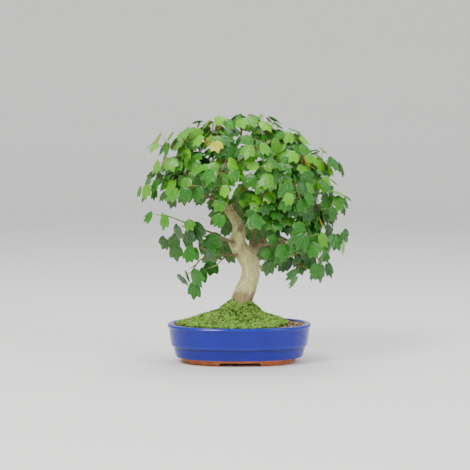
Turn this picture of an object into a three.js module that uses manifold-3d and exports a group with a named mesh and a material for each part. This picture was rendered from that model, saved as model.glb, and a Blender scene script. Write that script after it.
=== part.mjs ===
// A trident maple bonsai in an oval glazed pot, with its soil, moss and drain screens.
// Millimetres, +Z up, +X along the pot's long side, +Y towards the back.

import * as THREE from 'three';
import { mergeVertices } from 'three/addons/utils/BufferGeometryUtils.js';
import Module from 'manifold-3d';

const wasm = await Module();
wasm.setup();

const V = (x, y, z) => new THREE.Vector3(x, y, z);
const UP = V(0, 0, 1);

// ---------------------------------------------------------------- driving dimensions

// Pot, measured over the lip.
const potLength = 250;
const potWidth = 176;
const potHeight = 68;
const ovalness = 2.3; // 2 is an ellipse, more is squarer
const potWall = 8;
const potFloor = 6;
const potSegments = 32;

// Heights and set-backs of the pot's outer steps. A set-back is measured from the lip.
const beltHeight = 29;
const beltRise = 3.5;
const beltSetback = 6;
const neckSetback = 9.5;
const glazeHeight = 10.5;
const glazeSetback = 14;
const lipRound = 3.5;

// Bare clay foot ring, cut by four arches into four feet.
const footTopSetback = 25;
const footSetback = 29;
const footWidth = 10;
const footDepth = 8;
const archHeight = 5.5;
const archSlope = 3;
const frontArchLength = 68;
const endArchLength = 58;

// Drain holes, their plastic screens and the wires that hold the screens.
const drainDiameter = 20;
const drainSpacing = 96;
const screenSize = 29.5;
const screenThickness = 1.2;
const screenOpenings = 4;
const screenBar = 1.5;
const wireDiameter = 1.2;
const wireLegReach = 17;

// Clearance between two pieces that touch.
const seatGap = 0.3;

// Soil and moss.
const soilBelowLip = 3;
const moundRise = 37;
const moundSteepness = 1.25;
const moundLean = 0.25;
const mossThickness = 6;
const mossEdgeThickness = 2;
const mossCover = 0.93;
const mossBareEnd = 0.2;
const groundRings = 4;

// Trunk and branches.
const trunkSides = 10;
const trunkSteps = 22;
const limbSides = 5;
const limbSteps = 4;
const rootCount = 5;
const rootSides = 5;
const rootReach = 56;
const rootTop = 86;
const rootDrop = 44;
const rootRadius = 8;

// Crown and leaves.
const crownCentre = V(12, 0, 285);
const crownReach = V(190, 145, 150);
const twigRadius = 1.5;
const twigTipRadius = 0.8;
const twigArch = 0.12;
const longTwig = 56;
const stalkRadius = 0.65;
const stalkLength = 21;
const neckLength = 1.5;
const leafLength = 37;
const lobeWidth = 0.47; // these four are shares of the leaf's length
const lobeReach = 0.56;
const notchWidth = 0.17;
const notchReach = 0.63;
const leafThickness = 1.2;
const leafFold = 0.09;
const leafDroop = 0.1;
const leafBand = 1.8;
const leafFoldBack = -0.15; // cosine of the sharpest bend from stalk to blade
const stalkLean = 0.5; // cosine of a stalk's greatest lean from straight out of its side of the twig
const leafGap = 0.8;
const leafTries = 14;
const stemFootRoom = 4; // how much of a stalk's foot may be near the twig that carries it
const leafFootRoom = 2; // and near the foot of the opposite stalk

// Leaves stand in opposite pairs, each pair a quarter turn from the last, at these shares of
// the twig. Only a long twig has the last one.
const pairShares = [0.96, 0.7, 0.45, 0.84];
const longTwigPair = 3;

// ---------------------------------------------------------------- solids from geometry

// A closed geometry as a solid, turned right side out if it was drawn inside out.
function solidOf(geometry) {
  const bare = geometry.clone();
  bare.deleteAttribute('normal');
  bare.deleteAttribute('uv');
  const merged = mergeVertices(bare, 1e-4);
  const corners = Uint32Array.from(merged.index.array);
  if (signedVolume(merged.attributes.position, corners) < 0) corners.reverse();
  const mesh = { numProp: 3, vertProperties: merged.attributes.position.array, triVerts: corners };
  return new wasm.Manifold(new wasm.Mesh(mesh));
}

function signedVolume(position, corners) {
  const corner = (i) => new THREE.Vector3().fromBufferAttribute(position, corners[i]);
  let volume = 0;
  for (let i = 0; i < corners.length; i += 3) {
    volume += corner(i).dot(corner(i + 1).cross(corner(i + 2))) / 6;
  }
  return volume;
}

function meshOf(name, solid, material) {
  const { vertProperties, triVerts } = solid.getMesh();
  const geometry = new THREE.BufferGeometry();
  geometry.setAttribute('position', new THREE.BufferAttribute(vertProperties, 3));
  geometry.setIndex(new THREE.BufferAttribute(triVerts, 1));
  geometry.computeVertexNormals();
  const mesh = new THREE.Mesh(geometry, material);
  mesh.name = name;
  return mesh;
}

const joined = (solids) => solids.reduce((all, solid) => all.add(solid));

function boxSolid(low, high) {
  const size = high.clone().sub(low);
  const geometry = new THREE.BoxGeometry(size.x, size.y, size.z);
  const middle = low.clone().add(high).multiplyScalar(0.5);
  return solidOf(geometry.translate(middle.x, middle.y, middle.z));
}

// A round tube bent along a curve, its radius given from 0 at the start to 1 at the end.
function tubeSolid(curve, radiusAt, sides, steps) {
  const frames = curve.computeFrenetFrames(steps, false);
  const geometry = new THREE.CylinderGeometry(1, 1, 1, sides, steps);
  const position = geometry.attributes.position;
  for (let i = 0; i < position.count; i++) {
    const step = Math.round((position.getY(i) + 0.5) * steps);
    const radius = radiusAt(step / steps);
    const point = curve.getPointAt(step / steps);
    point.addScaledVector(frames.normals[step], position.getX(i) * radius);
    point.addScaledVector(frames.binormals[step], -position.getZ(i) * radius);
    position.setXYZ(i, point.x, point.y, point.z);
  }
  return solidOf(geometry);
}

// ---------------------------------------------------------------- the oval pot

const lip = potLength / 2;
const endInset = (potLength - potWidth) / 2;
const archFootLevel = -1;

// A point of the oval whose half length is `radius`. Every oval of the pot is as much
// narrower than long as the lip is, down to twice that difference.
function ovalPoint(radius, angle) {
  const halfWidth = radius > 2 * endInset ? radius - endInset : radius / 2;
  const cos = Math.cos(angle);
  const sin = Math.sin(angle);
  const x = radius * Math.sign(cos) * Math.abs(cos) ** (2 / ovalness);
  const y = halfWidth * Math.sign(sin) * Math.abs(sin) ** (2 / ovalness);
  return [x, y];
}

// A lathe whose rings are ovals. `heightAt(radius, angle, z)` may lift its points.
function ovalLathe(profile, heightAt = (radius, angle, z) => z, radiusAt = (radius) => radius) {
  const points = profile.map(([radius, z]) => new THREE.Vector2(radius, z));
  const geometry = new THREE.LatheGeometry(points, potSegments);
  const position = geometry.attributes.position;
  for (let i = 0; i < position.count; i++) {
    const radius = Math.hypot(position.getX(i), position.getZ(i));
    const angle = Math.atan2(-position.getZ(i), position.getX(i));
    const z = heightAt(radius, angle, position.getY(i));
    const [x, y] = ovalPoint(radiusAt(radius, angle), angle);
    position.setXYZ(i, x, y, z);
  }
  return geometry;
}

// Half length of the pot's inner wall at a height above its floor.
const innerWall = [
  [lip - potWall - 3, potHeight - 1],
  [lip - potWall - 2, potHeight - soilBelowLip],
  [lip - neckSetback - potWall, beltHeight],
  [lip - glazeSetback - potWall, footDepth + potFloor + 3],
  [lip - glazeSetback - potWall - 5, footDepth + potFloor],
];

function potSolid() {
  const profile = [
    [0, footDepth],
    [lip - footSetback - footWidth - 2, footDepth],
    [lip - footSetback - footWidth, 0],
    [lip - footSetback, 0],
    [lip - footTopSetback, archHeight],
    [lip - footTopSetback, glazeHeight - 0.5],
    [lip - glazeSetback, glazeHeight],
    [lip - neckSetback, beltHeight],
    [lip - beltSetback, beltHeight + beltRise],
    [lip - lipRound + 1.5, potHeight - 2 * lipRound],
    [lip, potHeight - lipRound],
    [lip - 1.2, potHeight - 0.8],
    [lip - 4.5, potHeight],
    ...innerWall,
    [0, footDepth + potFloor],
  ];
  const arches = [archSolid(frontArchLength, potWidth, 0), archSolid(endArchLength, potLength, Math.PI / 2)];
  const drains = [-1, 1].map((side) => drainSolid(side * drainSpacing / 2));
  return [...arches, ...drains].reduce((pot, cut) => pot.subtract(cut), solidOf(ovalLathe(profile)));
}

// The slanted-ended gap between two feet, cut right through the foot ring.
function archSolid(length, reach, turn) {
  const half = length / 2;
  const outline = new THREE.Shape();
  outline.moveTo(-half - archSlope, archFootLevel);
  outline.lineTo(half + archSlope, archFootLevel);
  outline.lineTo(half, archHeight);
  outline.lineTo(-half, archHeight);
  const geometry = new THREE.ExtrudeGeometry(outline, { depth: reach, bevelEnabled: false });
  geometry.translate(0, 0, -reach / 2);
  geometry.rotateX(Math.PI / 2);
  geometry.rotateZ(turn);
  return solidOf(geometry);
}

function drainSolid(x) {
  const depth = potFloor + 4;
  const geometry = new THREE.CylinderGeometry(drainDiameter / 2, drainDiameter / 2, depth, 20);
  geometry.rotateX(Math.PI / 2);
  return solidOf(geometry.translate(x, 0, footDepth + potFloor / 2));
}

// ---------------------------------------------------------------- drain screens and wires

const potFloorLevel = footDepth + potFloor;
const screenLevel = potFloorLevel + seatGap;
const screenTop = screenLevel + screenThickness;
const screenPitch = (screenSize - screenBar) / screenOpenings;
const screenGaps = Array.from({ length: screenOpenings }, (_, i) => (i - (screenOpenings - 1) / 2) * screenPitch);
const wireGauge = wireDiameter / 2;
const wireLegX = screenGaps[2];
const wireLine = screenGaps[1];

// A square of plastic mesh over a drain hole.
function screenSolid(x) {
  const half = screenSize / 2;
  const gapHalf = (screenPitch - screenBar) / 2;
  let screen = boxSolid(V(x - half, -half, screenLevel), V(x + half, half, screenTop));
  for (const across of screenGaps) {
    for (const along of screenGaps) {
      const low = V(x + across - gapHalf, along - gapHalf, screenLevel - 1);
      screen = screen.subtract(boxSolid(low, V(x + across + gapHalf, along + gapHalf, screenTop + 1)));
    }
  }
  return screen;
}

// A wire staple: over the screen, down through it and the drain hole, and out under the pot.
function wireSolid(x) {
  const over = screenTop + seatGap + wireGauge;
  const under = footDepth - seatGap - wireGauge;
  const half = [
    V(0, 0, over),
    V(wireLegX - 1.2, 0, over),
    V(wireLegX, 0, over - 1.4),
    V(wireLegX, 0, potFloorLevel),
    V(wireLegX, 0, under + 2),
    V(wireLegX + 1.2, 0, under),
    V(wireLegReach, 0, under),
  ];
  const otherHalf = half.slice(1).reverse().map((point) => V(-point.x, 0, point.z));
  const route = [...otherHalf, ...half].map((point) => point.add(V(x, wireLine, 0)));
  const path = new THREE.CatmullRomCurve3(route, false, 'centripetal');
  const section = new THREE.Shape();
  section.absarc(0, 0, wireGauge, 0, 2 * Math.PI);
  return solidOf(new THREE.ExtrudeGeometry(section, { steps: 20, curveSegments: 3, extrudePath: path }));
}

// The room that a screen and its wire take out of the soil.
function screenPocket(x) {
  const half = screenSize / 2 + seatGap;
  const floor = potFloorLevel - 2;
  const screen = boxSolid(V(x - half, -half, floor), V(x + half, half, screenTop + seatGap));
  const grooveHalf = wireGauge + seatGap;
  const grooveTop = screenTop + 2 * seatGap + wireDiameter + seatGap;
  const grooveReach = wireLegX + wireDiameter;
  const low = V(x - grooveReach, wireLine - grooveHalf, floor);
  return screen.add(boxSolid(low, V(x + grooveReach, wireLine + grooveHalf, grooveTop)));
}

// ---------------------------------------------------------------- trunk, branches and roots

// Centre points with the radius of the wood there: [x, y, z, radius].
const trunkLine = [
  [2, 2, 66, 22], [2, 1, 86, 20], [2.8, 0, 102, 15.8], [5.7, -1, 113, 16.6], [11, -2, 126, 16.2],
  [15.7, -2, 137, 14.4], [19.8, -2, 153, 14.3], [21, -2, 166, 14.8], [15, -2, 180, 14.6],
  [6, -2, 192, 13.6], [-2.3, -2, 204, 11.8], [-2.6, -2, 213, 12.1], [0, -1, 225, 9.8],
  [-2, 0, 240, 8.4], [-8, 1, 250, 7.9], [-23, 0, 274, 7], [-29, -1, 300, 5.2], [-30, -3, 326, 4.7],
  [-23, -5, 347, 4], [-34, -8, 362, 3.2], [-48, -12, 376, 2],
];

// Each limb starts inside the wood that carries it. Shoots grow at its listed points.
const limbLines = {
  nub: [[24, -3, 164, 5], [32, -4, 165, 4], [39, -4, 166, 2.6]],
  crutch: [[12, -1, 178, 12], [19, -1, 190, 9.5], [24, -1, 198, 6.5]],
  rightBranch: [
    [22, -2, 190, 6], [33, -4, 200, 4.4], [44, -8, 216, 4], [74, -14, 238, 3.4],
    [108, -18, 258, 2.6], [140, -22, 276, 1.8],
  ],
  rearStem: [
    [23, 0, 192, 4.6], [28, 2, 208, 3.4], [27, 5, 238, 3.1], [38, 2, 282, 2.8],
    [50, -4, 330, 2.4], [46, -8, 372, 1.7],
  ],
  rightUpper: [[74, -14, 238, 3], [88, -10, 272, 2.5], [104, -8, 306, 2.2], [124, -10, 334, 1.6]],
  rightLower: [[58, -11, 226, 2.8], [82, -34, 214, 2.4], [112, -42, 204, 2], [140, -40, 200, 1.5]],
  rightFront: [[38, -6, 206, 3], [52, -38, 210, 2.5], [74, -68, 212, 2], [92, -88, 208, 1.5]],
  lowLeft: [[8, -8, 184, 4], [-16, -18, 188, 2.6], [-44, -26, 190, 2.2], [-68, -30, 180, 1.6]],
  middleLeft: [[0, -6, 202, 4], [-28, -26, 218, 2.8], [-64, -38, 234, 2.3], [-100, -42, 248, 1.7]],
  darkLeft: [[-14, -1, 262, 5], [-42, -8, 284, 3.8], [-78, -12, 298, 3], [-118, -14, 314, 1.9]],
  upperLeft: [[-28, -1, 302, 4], [-48, -8, 330, 3], [-76, -14, 352, 2.3], [-98, -16, 366, 1.7]],
  crown: [[-29, -4, 336, 3.4], [-14, -16, 366, 2.5], [2, -20, 388, 1.7]],
  frontCentre: [[-1, -6, 226, 4], [6, -38, 246, 2.8], [10, -74, 264, 2.1], [14, -96, 262, 1.6]],
  frontLeft: [[-22, -4, 276, 4], [-34, -36, 298, 2.8], [-46, -68, 312, 2.1], [-58, -90, 310, 1.6]],
  frontRight: [[36, 1, 280, 3], [54, -32, 306, 2.5], [74, -62, 322, 2], [88, -84, 318, 1.5]],
  frontTop: [[-30, -4, 322, 3], [-12, -36, 344, 2.4], [8, -62, 356, 1.7]],
  rearLow: [[1, 4, 226, 4], [10, 42, 236, 2.8], [22, 80, 240, 1.9]],
  rearLeft: [[-23, 3, 276, 4], [-46, 40, 292, 2.9], [-78, 74, 296, 1.9]],
  rearLowLeft: [[-4, 5, 210, 4], [-36, 36, 212, 2.7], [-76, 58, 218, 1.8]],
  rearRight: [[72, -12, 238, 3], [88, 26, 258, 2.5], [112, 64, 268, 1.8]],
  rearLowRight: [[33, -2, 202, 3.4], [58, 38, 204, 2.6], [92, 66, 208, 1.8]],
  rearUpper: [[-29, 1, 322, 3.4], [-22, 40, 342, 2.5], [-14, 74, 346, 1.7]],
  rearUpperRight: [[45, -1, 322, 2.4], [68, 36, 334, 2.1], [88, 68, 330, 1.6]],
};

const pointsOf = (line) => line.map(([x, y, z]) => V(x, y, z));

// The radius at a share of the line's length, read between its listed points.
function radiusAlong(line, grow) {
  const points = pointsOf(line);
  const reach = [0];
  for (let i = 1; i < points.length; i++) reach.push(reach[i - 1] + points[i].distanceTo(points[i - 1]));
  return (share) => {
    const at = share * reach[reach.length - 1];
    const i = Math.max(1, reach.findIndex((distance) => distance >= at - 1e-6));
    const blend = (at - reach[i - 1]) / (reach[i] - reach[i - 1]);
    return grow + THREE.MathUtils.lerp(line[i - 1][3], line[i][3], blend);
  };
}

// Wood along a line, grown by a clearance where it is the room that the wood needs.
function woodSolid(line, sides, steps, grow) {
  const points = pointsOf(line);
  const last = points.length - 1;
  const end = points[last].clone().sub(points[last - 1]).setLength(grow);
  const foot = points[0].clone().sub(points[1]).setLength(grow);
  points[last].add(end);
  points[0].add(foot);
  const curve = new THREE.CatmullRomCurve3(points, false, 'centripetal');
  return tubeSolid(curve, radiusAlong(line, grow), sides, steps);
}

function rootLine(i) {
  const angle = (i + 0.3) * 2 * Math.PI / rootCount;
  const across = (reach) => [2 + reach * Math.cos(angle), 1 + reach * 0.8 * Math.sin(angle)];
  return [
    [...across(6), rootTop, rootRadius],
    [...across(rootReach * 0.5), rootTop - rootDrop * 0.35, rootRadius * 0.65],
    [...across(rootReach), rootTop - rootDrop, rootRadius * 0.25],
  ];
}

function treeSolid(grow = 0) {
  const roots = Array.from({ length: rootCount }, (_, i) => woodSolid(rootLine(i), rootSides, 4, grow));
  const limbs = Object.values(limbLines).map((line) => woodSolid(line, limbSides, limbSteps, grow));
  return joined([woodSolid(trunkLine, trunkSides, trunkSteps, grow), ...limbs, ...roots]);
}

// ---------------------------------------------------------------- soil and moss

const soilReach = lip - potWall - 2 - seatGap;
const soilRim = potHeight - soilBelowLip;

// The moss ends short of the wall all round, and leaves the right end bare.
function mossReach(angle) {
  const bare = Math.max(0, Math.cos(angle)) ** 3;
  return soilReach * (mossCover - mossBareEnd * bare);
}

// Height of the planted surface at a share of the soil's reach.
function moundLevel(share, angle) {
  const steepness = moundSteepness + moundLean * Math.cos(angle);
  return soilRim + moundRise * Math.max(0, 1 - share) ** steepness;
}

const ringReach = (ring, angle) => mossReach(angle) * ring / groundRings;
const mossDepth = (ring) => THREE.MathUtils.lerp(mossThickness, mossEdgeThickness, (ring / groundRings) ** 2);
const mossTop = (ring, angle) => moundLevel(ringReach(ring, angle) / soilReach, angle);

// In these two profiles a point's radius is a ring number, and its height is one of these marks.
const soilMark = 1;
const mossMark = 2;
const ringList = Array.from({ length: groundRings + 1 }, (_, ring) => ring);

function soilSolid(treeRoom) {
  const wall = innerWall.slice(1).map(([radius, z]) => [radius - seatGap, z === soilRim ? z - 1 : z]);
  wall[wall.length - 1][1] += seatGap;
  const profile = [...ringList.map((ring) => [ring, soilMark]), ...wall, [0, potFloorLevel + seatGap]];
  const isRing = (radius) => radius < groundRings + 0.5;
  const height = (radius, angle, z) => {
    const ring = Math.round(radius);
    return z === soilMark ? mossTop(ring, angle) - mossDepth(ring) - seatGap : z;
  };
  const reach = (radius, angle) => (isRing(radius) ? ringReach(Math.round(radius), angle) : radius);
  let soil = solidOf(ovalLathe(profile, height, reach)).subtract(treeRoom);
  for (const side of [-1, 1]) soil = soil.subtract(screenPocket(side * drainSpacing / 2));
  return soil;
}

function mossSolid(treeRoom) {
  const under = ringList.map((ring) => [ring, soilMark]);
  const over = ringList.map((ring) => [ring, mossMark]).reverse();
  const height = (radius, angle, z) => {
    const ring = Math.round(radius);
    return mossTop(ring, angle) - (z === soilMark ? mossDepth(ring) : 0);
  };
  const reach = (radius, angle) => ringReach(Math.round(radius), angle);
  return solidOf(ovalLathe([...under, ...over], height, reach)).subtract(treeRoom);
}

// ---------------------------------------------------------------- leafy shoots

// Each shoot grows from one listed point of a limb to its tip: [limb, point, x, y, z].
const shootLines = [
  ['trunk', 20, -80, -22, 398],
  ['trunk', 19, -36, -34, 406],
  ['crown', 2, 6, -26, 416],
  ['crown', 1, -52, 14, 402],
  ['rearStem', 5, 44, -14, 412],
  ['rearStem', 4, 84, -22, 384],
  ['frontTop', 2, 22, -96, 372],
  ['frontTop', 1, -44, -72, 378],
  ['upperLeft', 3, -132, -24, 374],
  ['upperLeft', 2, -100, -52, 392],
  ['upperLeft', 1, -84, -60, 342],
  ['upperLeft', 2, -92, 36, 384],
  ['darkLeft', 3, -150, -22, 306],
  ['darkLeft', 2, -122, -54, 344],
  ['darkLeft', 2, -116, 32, 330],
  ['middleLeft', 3, -136, -48, 258],
  ['middleLeft', 2, -98, -78, 240],
  ['lowLeft', 3, -84, -36, 158],
  ['lowLeft', 2, -64, -62, 204],
  ['lowLeft', 1, -40, -52, 172],
  ['frontLeft', 3, -88, -112, 304],
  ['frontLeft', 2, -34, -112, 330],
  ['frontCentre', 3, 16, -128, 246],
  ['frontCentre', 2, -30, -108, 268],
  ['frontCentre', 1, 44, -72, 270],
  ['frontRight', 3, 96, -112, 301],
  ['frontRight', 2, 40, -104, 326],
  ['frontRight', 1, 96, -64, 356],
  ['rightUpper', 3, 146, -14, 346],
  ['rightUpper', 2, 128, -52, 318],
  ['rightUpper', 2, 124, 40, 342],
  ['rightBranch', 5, 164, -30, 284],
  ['rightBranch', 4, 130, -66, 268],
  ['rightLower', 3, 160, -50, 222],
  ['rightLower', 2, 136, -68, 182],
  ['rightFront', 3, 112, -114, 226],
  ['rightFront', 2, 62, -106, 212],
  ['rightLower', 1, 104, -74, 172],
  ['rearLow', 2, 32, 116, 232],
  ['rearLow', 1, -24, 94, 262],
  ['rearLeft', 2, -112, 92, 290],
  ['rearLeft', 1, -54, 96, 330],
  ['rearLowLeft', 2, -112, 74, 214],
  ['rearLowLeft', 1, -54, 92, 196],
  ['rearRight', 2, 142, 84, 256],
  ['rearRight', 1, 64, 92, 292],
  ['rearLowRight', 2, 120, 90, 204],
  ['rearLowRight', 1, 50, 96, 182],
  ['rearUpper', 2, -12, 108, 346],
  ['rearUpperRight', 2, 104, 98, 316],
  ['rearUpperRight', 1, 52, 62, 380],
];

// The same numbers each time, for one shoot's own small irregularities.
function irregularity(seed) {
  let state = (seed * 2654435761 + 12345) % 4294967296;
  const next = () => {
    state = (state * 1664525 + 1013904223) % 4294967296;
    return state / 4294967296;
  };
  next();
  return { share: next, around: (middle, spread) => middle + (next() - 0.5) * 2 * spread };
}

// A twig arches a little upwards on its way from the limb to its tip, in an upright plane.
function twigOf([limb, point, x, y, z]) {
  const line = limb === 'trunk' ? trunkLine : limbLines[limb];
  const start = pointsOf(line)[point];
  const tip = V(x, y, z);
  const bend = start.clone().lerp(tip, 0.5).addScaledVector(UP, start.distanceTo(tip) * twigArch);
  const curve = new THREE.QuadraticBezierCurve3(start, bend, tip);
  const level = UP.clone().cross(tip.clone().sub(start)).normalize();
  return { curve, level, length: curve.getLength() };
}

// A direction across the twig: level at 0, on top of it at a quarter turn.
function acrossTwig(twig, share, angle) {
  const lift = twig.curve.getTangent(share).cross(twig.level);
  return twig.level.clone().multiplyScalar(Math.cos(angle)).addScaledVector(lift, Math.sin(angle));
}

function twigRing(twig, share, grow) {
  const radius = grow + THREE.MathUtils.lerp(twigRadius, twigTipRadius, share);
  return [-1, 1, 3, 5].map((corner) => twig.curve.getPoint(share)
    .addScaledVector(acrossTwig(twig, share, corner * Math.PI / 4), radius));
}

// A closed surface made ring by ring. Rings run anticlockwise seen from the growing end.
class Surface {
  points = [];
  faces = [];

  ring(points) {
    this.points.push(...points);
    return points.map((_, i) => this.points.length - points.length + i);
  }

  face(...corners) {
    for (let i = 2; i < corners.length; i++) this.faces.push(corners[0], corners[i - 1], corners[i]);
  }

  // How far apart two points are, seen along the way from one ring to another.
  apart(lower, upper) {
    const middle = (ring) => ring.reduce((sum, i) => sum.add(this.points[i]), V(0, 0, 0)).divideScalar(ring.length);
    const way = middle(upper).sub(middle(lower));
    return (a, b) => this.points[b].clone().sub(this.points[a]).projectOnPlane(way).length();
  }

  // The band between two rings, each side folded along its shorter diagonal. A side in `open`
  // leaves out one triangle, which is returned.
  band(lower, upper, open = []) {
    const mouths = [];
    const apart = this.apart(lower, upper);
    for (const [i, a] of lower.entries()) {
      const j = (i + 1) % lower.length;
      const [b, c, d] = [lower[j], upper[j], upper[i]];
      if (open.includes(i)) {
        mouths.push([a, b, c]);
        this.face(a, c, d);
      } else if (apart(a, c) < apart(b, d)) this.face(a, b, c, d);
      else this.face(b, c, d, a);
    }
    return mouths;
  }

  solid() {
    const vertProperties = new Float32Array(this.points.flatMap(({ x, y, z }) => [x, y, z]));
    const triVerts = new Uint32Array(this.faces);
    return new wasm.Manifold(new wasm.Mesh({ numProp: 3, vertProperties, triVerts }));
  }
}

// Away from the middle of the crown.
function outwardAt(point) {
  return point.clone().sub(crownCentre).divide(crownReach).divide(crownReach).normalize();
}

// A leaf's places: where its stalk leaves the twig, where its blade begins, the blade's
// direction, the side it faces and its length. A later attempt is turned and smaller.
function leafPlace(twig, share, side, attempt, seed) {
  const chance = irregularity(seed * 64 + attempt);
  const start = twig.curve.getPoint(share);
  const swing = (attempt % 2 ? 1 : -1) * Math.ceil(attempt / 2) * 0.14 + chance.around(0, 0.2);
  const stalk = acrossTwig(twig, share, side * Math.PI / 2 + swing);
  stalk.addScaledVector(twig.curve.getTangent(share), chance.around(0.7, 0.25));
  stalk.addScaledVector(UP, 0.25).addScaledVector(outwardAt(start), 0.35).normalize();
  const shrink = 1 - 0.035 * attempt;
  const end = start.clone().addScaledVector(stalk, chance.around(stalkLength, 6) * shrink);
  const facing = outwardAt(end).multiply(V(1, 1, 0.8)).addScaledVector(UP, 0.45);
  facing.add(V(chance.around(0, 0.35), chance.around(0, 0.35) - 0.1, chance.around(0, 0.3))).normalize();
  const along = V(chance.around(0, 0.5), chance.around(0, 0.5), -0.8).addScaledVector(stalk, 0.75);
  along.addScaledVector(facing, -along.dot(facing)).normalize();
  const length = chance.around(leafLength, 4.5) * (1.04 - 0.22 * share) * shrink;
  return { start, end, stalk, along, facing, length };
}

// Three points round a leaf's stalk: above, right and left of it.
function stalkRing(centre, direction, across, radius) {
  const flat = across.clone().addScaledVector(direction, -across.dot(direction)).normalize();
  const lift = flat.clone().cross(direction);
  return [0, 1, 2].map((corner) => centre.clone()
    .addScaledVector(flat, radius * Math.sin(corner * 2 * Math.PI / 3))
    .addScaledVector(lift, radius * Math.cos(corner * 2 * Math.PI / 3)));
}

// The stalk and blade that grow out of a three-cornered mouth. Each ring of the blade has
// its midrib, its right edge and its left edge: first the side lobes, then the notches.
function growLeaf(surface, mouth, { end, stalk, along, facing, length }, grow = 0) {
  const across = along.clone().cross(facing);
  const more = grow / length;
  const at = (side, reach, rise) => end.clone()
    .addScaledVector(across, side * length)
    .addScaledVector(along, reach * length)
    .addScaledVector(facing, rise - leafDroop * length * reach * reach);
  const bladeRing = (width, ribReach, edgeReach) => {
    const sink = -width * length * leafFold - grow;
    return [at(0, ribReach, leafThickness + grow), at(width, edgeReach, sink), at(-width, edgeReach, sink)];
  };
  const rings = [
    stalkRing(end, stalk.clone().add(along).normalize(), across, stalkRadius + grow),
    stalkRing(end.clone().addScaledVector(along, neckLength), along, across, stalkRadius + grow),
    bladeRing(lobeWidth + more, 0.36, lobeReach),
    bladeRing(notchWidth + more, 0.62, notchReach),
  ].map((points) => surface.ring(points));
  const apart = surface.apart(mouth, rings[0]);
  const turned = [0, 1, 2].map((turn) => [0, 1, 2].map((i) => mouth[(i + turn) % 3]));
  const twist = (ring) => ring.reduce((sum, point, i) => sum + apart(point, rings[0][i]), 0);
  surface.band(turned.sort((a, b) => twist(a) - twist(b))[0], rings[0]);
  for (const i of [1, 2, 3]) surface.band(rings[i - 1], rings[i]);
  const [tip] = surface.ring([at(0, 1 + more, 0)]);
  for (const i of [0, 1, 2]) surface.face(rings[3][i], rings[3][(i + 1) % 3], tip);
}

// The room that a leaf takes, from a little way out along its stalk.
function leafRoom(place, footRoom, grow) {
  const surface = new Surface();
  const across = place.along.clone().cross(place.facing);
  const foot = place.start.clone().addScaledVector(place.stalk, footRoom);
  const mouth = surface.ring(stalkRing(foot, place.stalk, across, stalkRadius + grow));
  surface.face(...mouth.slice().reverse());
  growLeaf(surface, mouth, place, grow);
  const solid = surface.solid();
  return { solid, box: solid.boundingBox() };
}

// A twig with its leaves, which leave it from a short band at each of their places.
function shootSolid(twig, leaves, grow = 0, from = 0) {
  const surface = new Surface();
  const half = leafBand / 2 / twig.length;
  const ring = (share) => surface.ring(twigRing(twig, share, grow));
  let below = ring(from);
  surface.face(...below.slice().reverse());
  const shares = [...new Set(leaves.map((leaf) => leaf.share))].sort((a, b) => a - b);
  for (const share of shares) {
    const grown = leaves.filter((leaf) => leaf.share === share).sort((a, b) => a.side - b.side);
    const [start, end] = [ring(share - half), ring(share + half)];
    surface.band(below, start);
    const mouths = surface.band(start, end, grown.map((leaf) => leaf.side));
    for (const [i, leaf] of grown.entries()) growLeaf(surface, mouths[i], leaf.place);
    below = end;
  }
  const tip = ring(1);
  surface.band(below, tip);
  surface.face(...tip);
  return surface.solid();
}

function overlaps({ solid, box }, others) {
  return others.some((other) => {
    const apart = [0, 1, 2].some((k) => box.max[k] < other.box.min[k] || box.min[k] > other.box.max[k]);
    return !apart && !solid.intersect(other.solid).isEmpty();
  });
}

// Without the offcut that the wood leaves of a twig's foot.
function outerPart(solid) {
  return solid.decompose().reduce((most, piece) => (piece.volume() > most.volume() ? piece : most));
}

// Every leaf takes the first of its attempts that is clear of all that has grown before it.
function shootSolids() {
  const withBox = (solid) => ({ solid, box: solid.boundingBox() });
  const twigs = shootLines.map(twigOf);
  const leaves = shootLines.map(() => []);
  const stems = [treeSolid(), ...twigs.map((twig) => shootSolid(twig, [], 0, 0.12))].map(withBox);
  const grown = [];
  for (const [pair, share] of pairShares.entries()) {
    for (const [shoot, twig] of twigs.entries()) {
      if (pair === longTwigPair && twig.length < longTwig) continue;
      for (const side of [pair % 2, pair % 2 + 2]) {
        const seed = shoot * 16 + pair * 2 + side + 1;
        for (let attempt = 0; attempt < leafTries; attempt++) {
          const place = leafPlace(twig, share, side, attempt, seed);
          if (place.stalk.dot(place.along) < leafFoldBack) continue;
          if (place.stalk.dot(acrossTwig(twig, share, side * Math.PI / 2)) < stalkLean) continue;
          if (overlaps(leafRoom(place, stemFootRoom, leafGap), stems)) continue;
          const room = leafRoom(place, leafFootRoom, leafGap / 2);
          if (overlaps(room, grown)) continue;
          grown.push(room);
          leaves[shoot].push({ share, side, place });
          break;
        }
      }
    }
  }
  const treeRoom = treeSolid(seatGap);
  return twigs.map((twig, shoot) => outerPart(shootSolid(twig, leaves[shoot]).subtract(treeRoom)));
}

// ---------------------------------------------------------------- materials and assembly

const finish = (color, roughness) => new THREE.MeshStandardMaterial({ color, roughness, metalness: 0 });
const glaze = finish(0x2246b4, 0.15);
const plastic = finish(0x1c1e1d, 0.6);
const wire = new THREE.MeshStandardMaterial({ color: 0x9a9c9e, roughness: 0.45, metalness: 1 });
const soilTone = finish(0x6b4d36, 0.95);
const mossTone = finish(0x7ba046, 0.9);
const bark = finish(0xb3a88c, 0.85);
const leafGreens = [0x3c8a2c, 0x4f9a30, 0x2f7438].map((tone) => finish(tone, 0.35));

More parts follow.
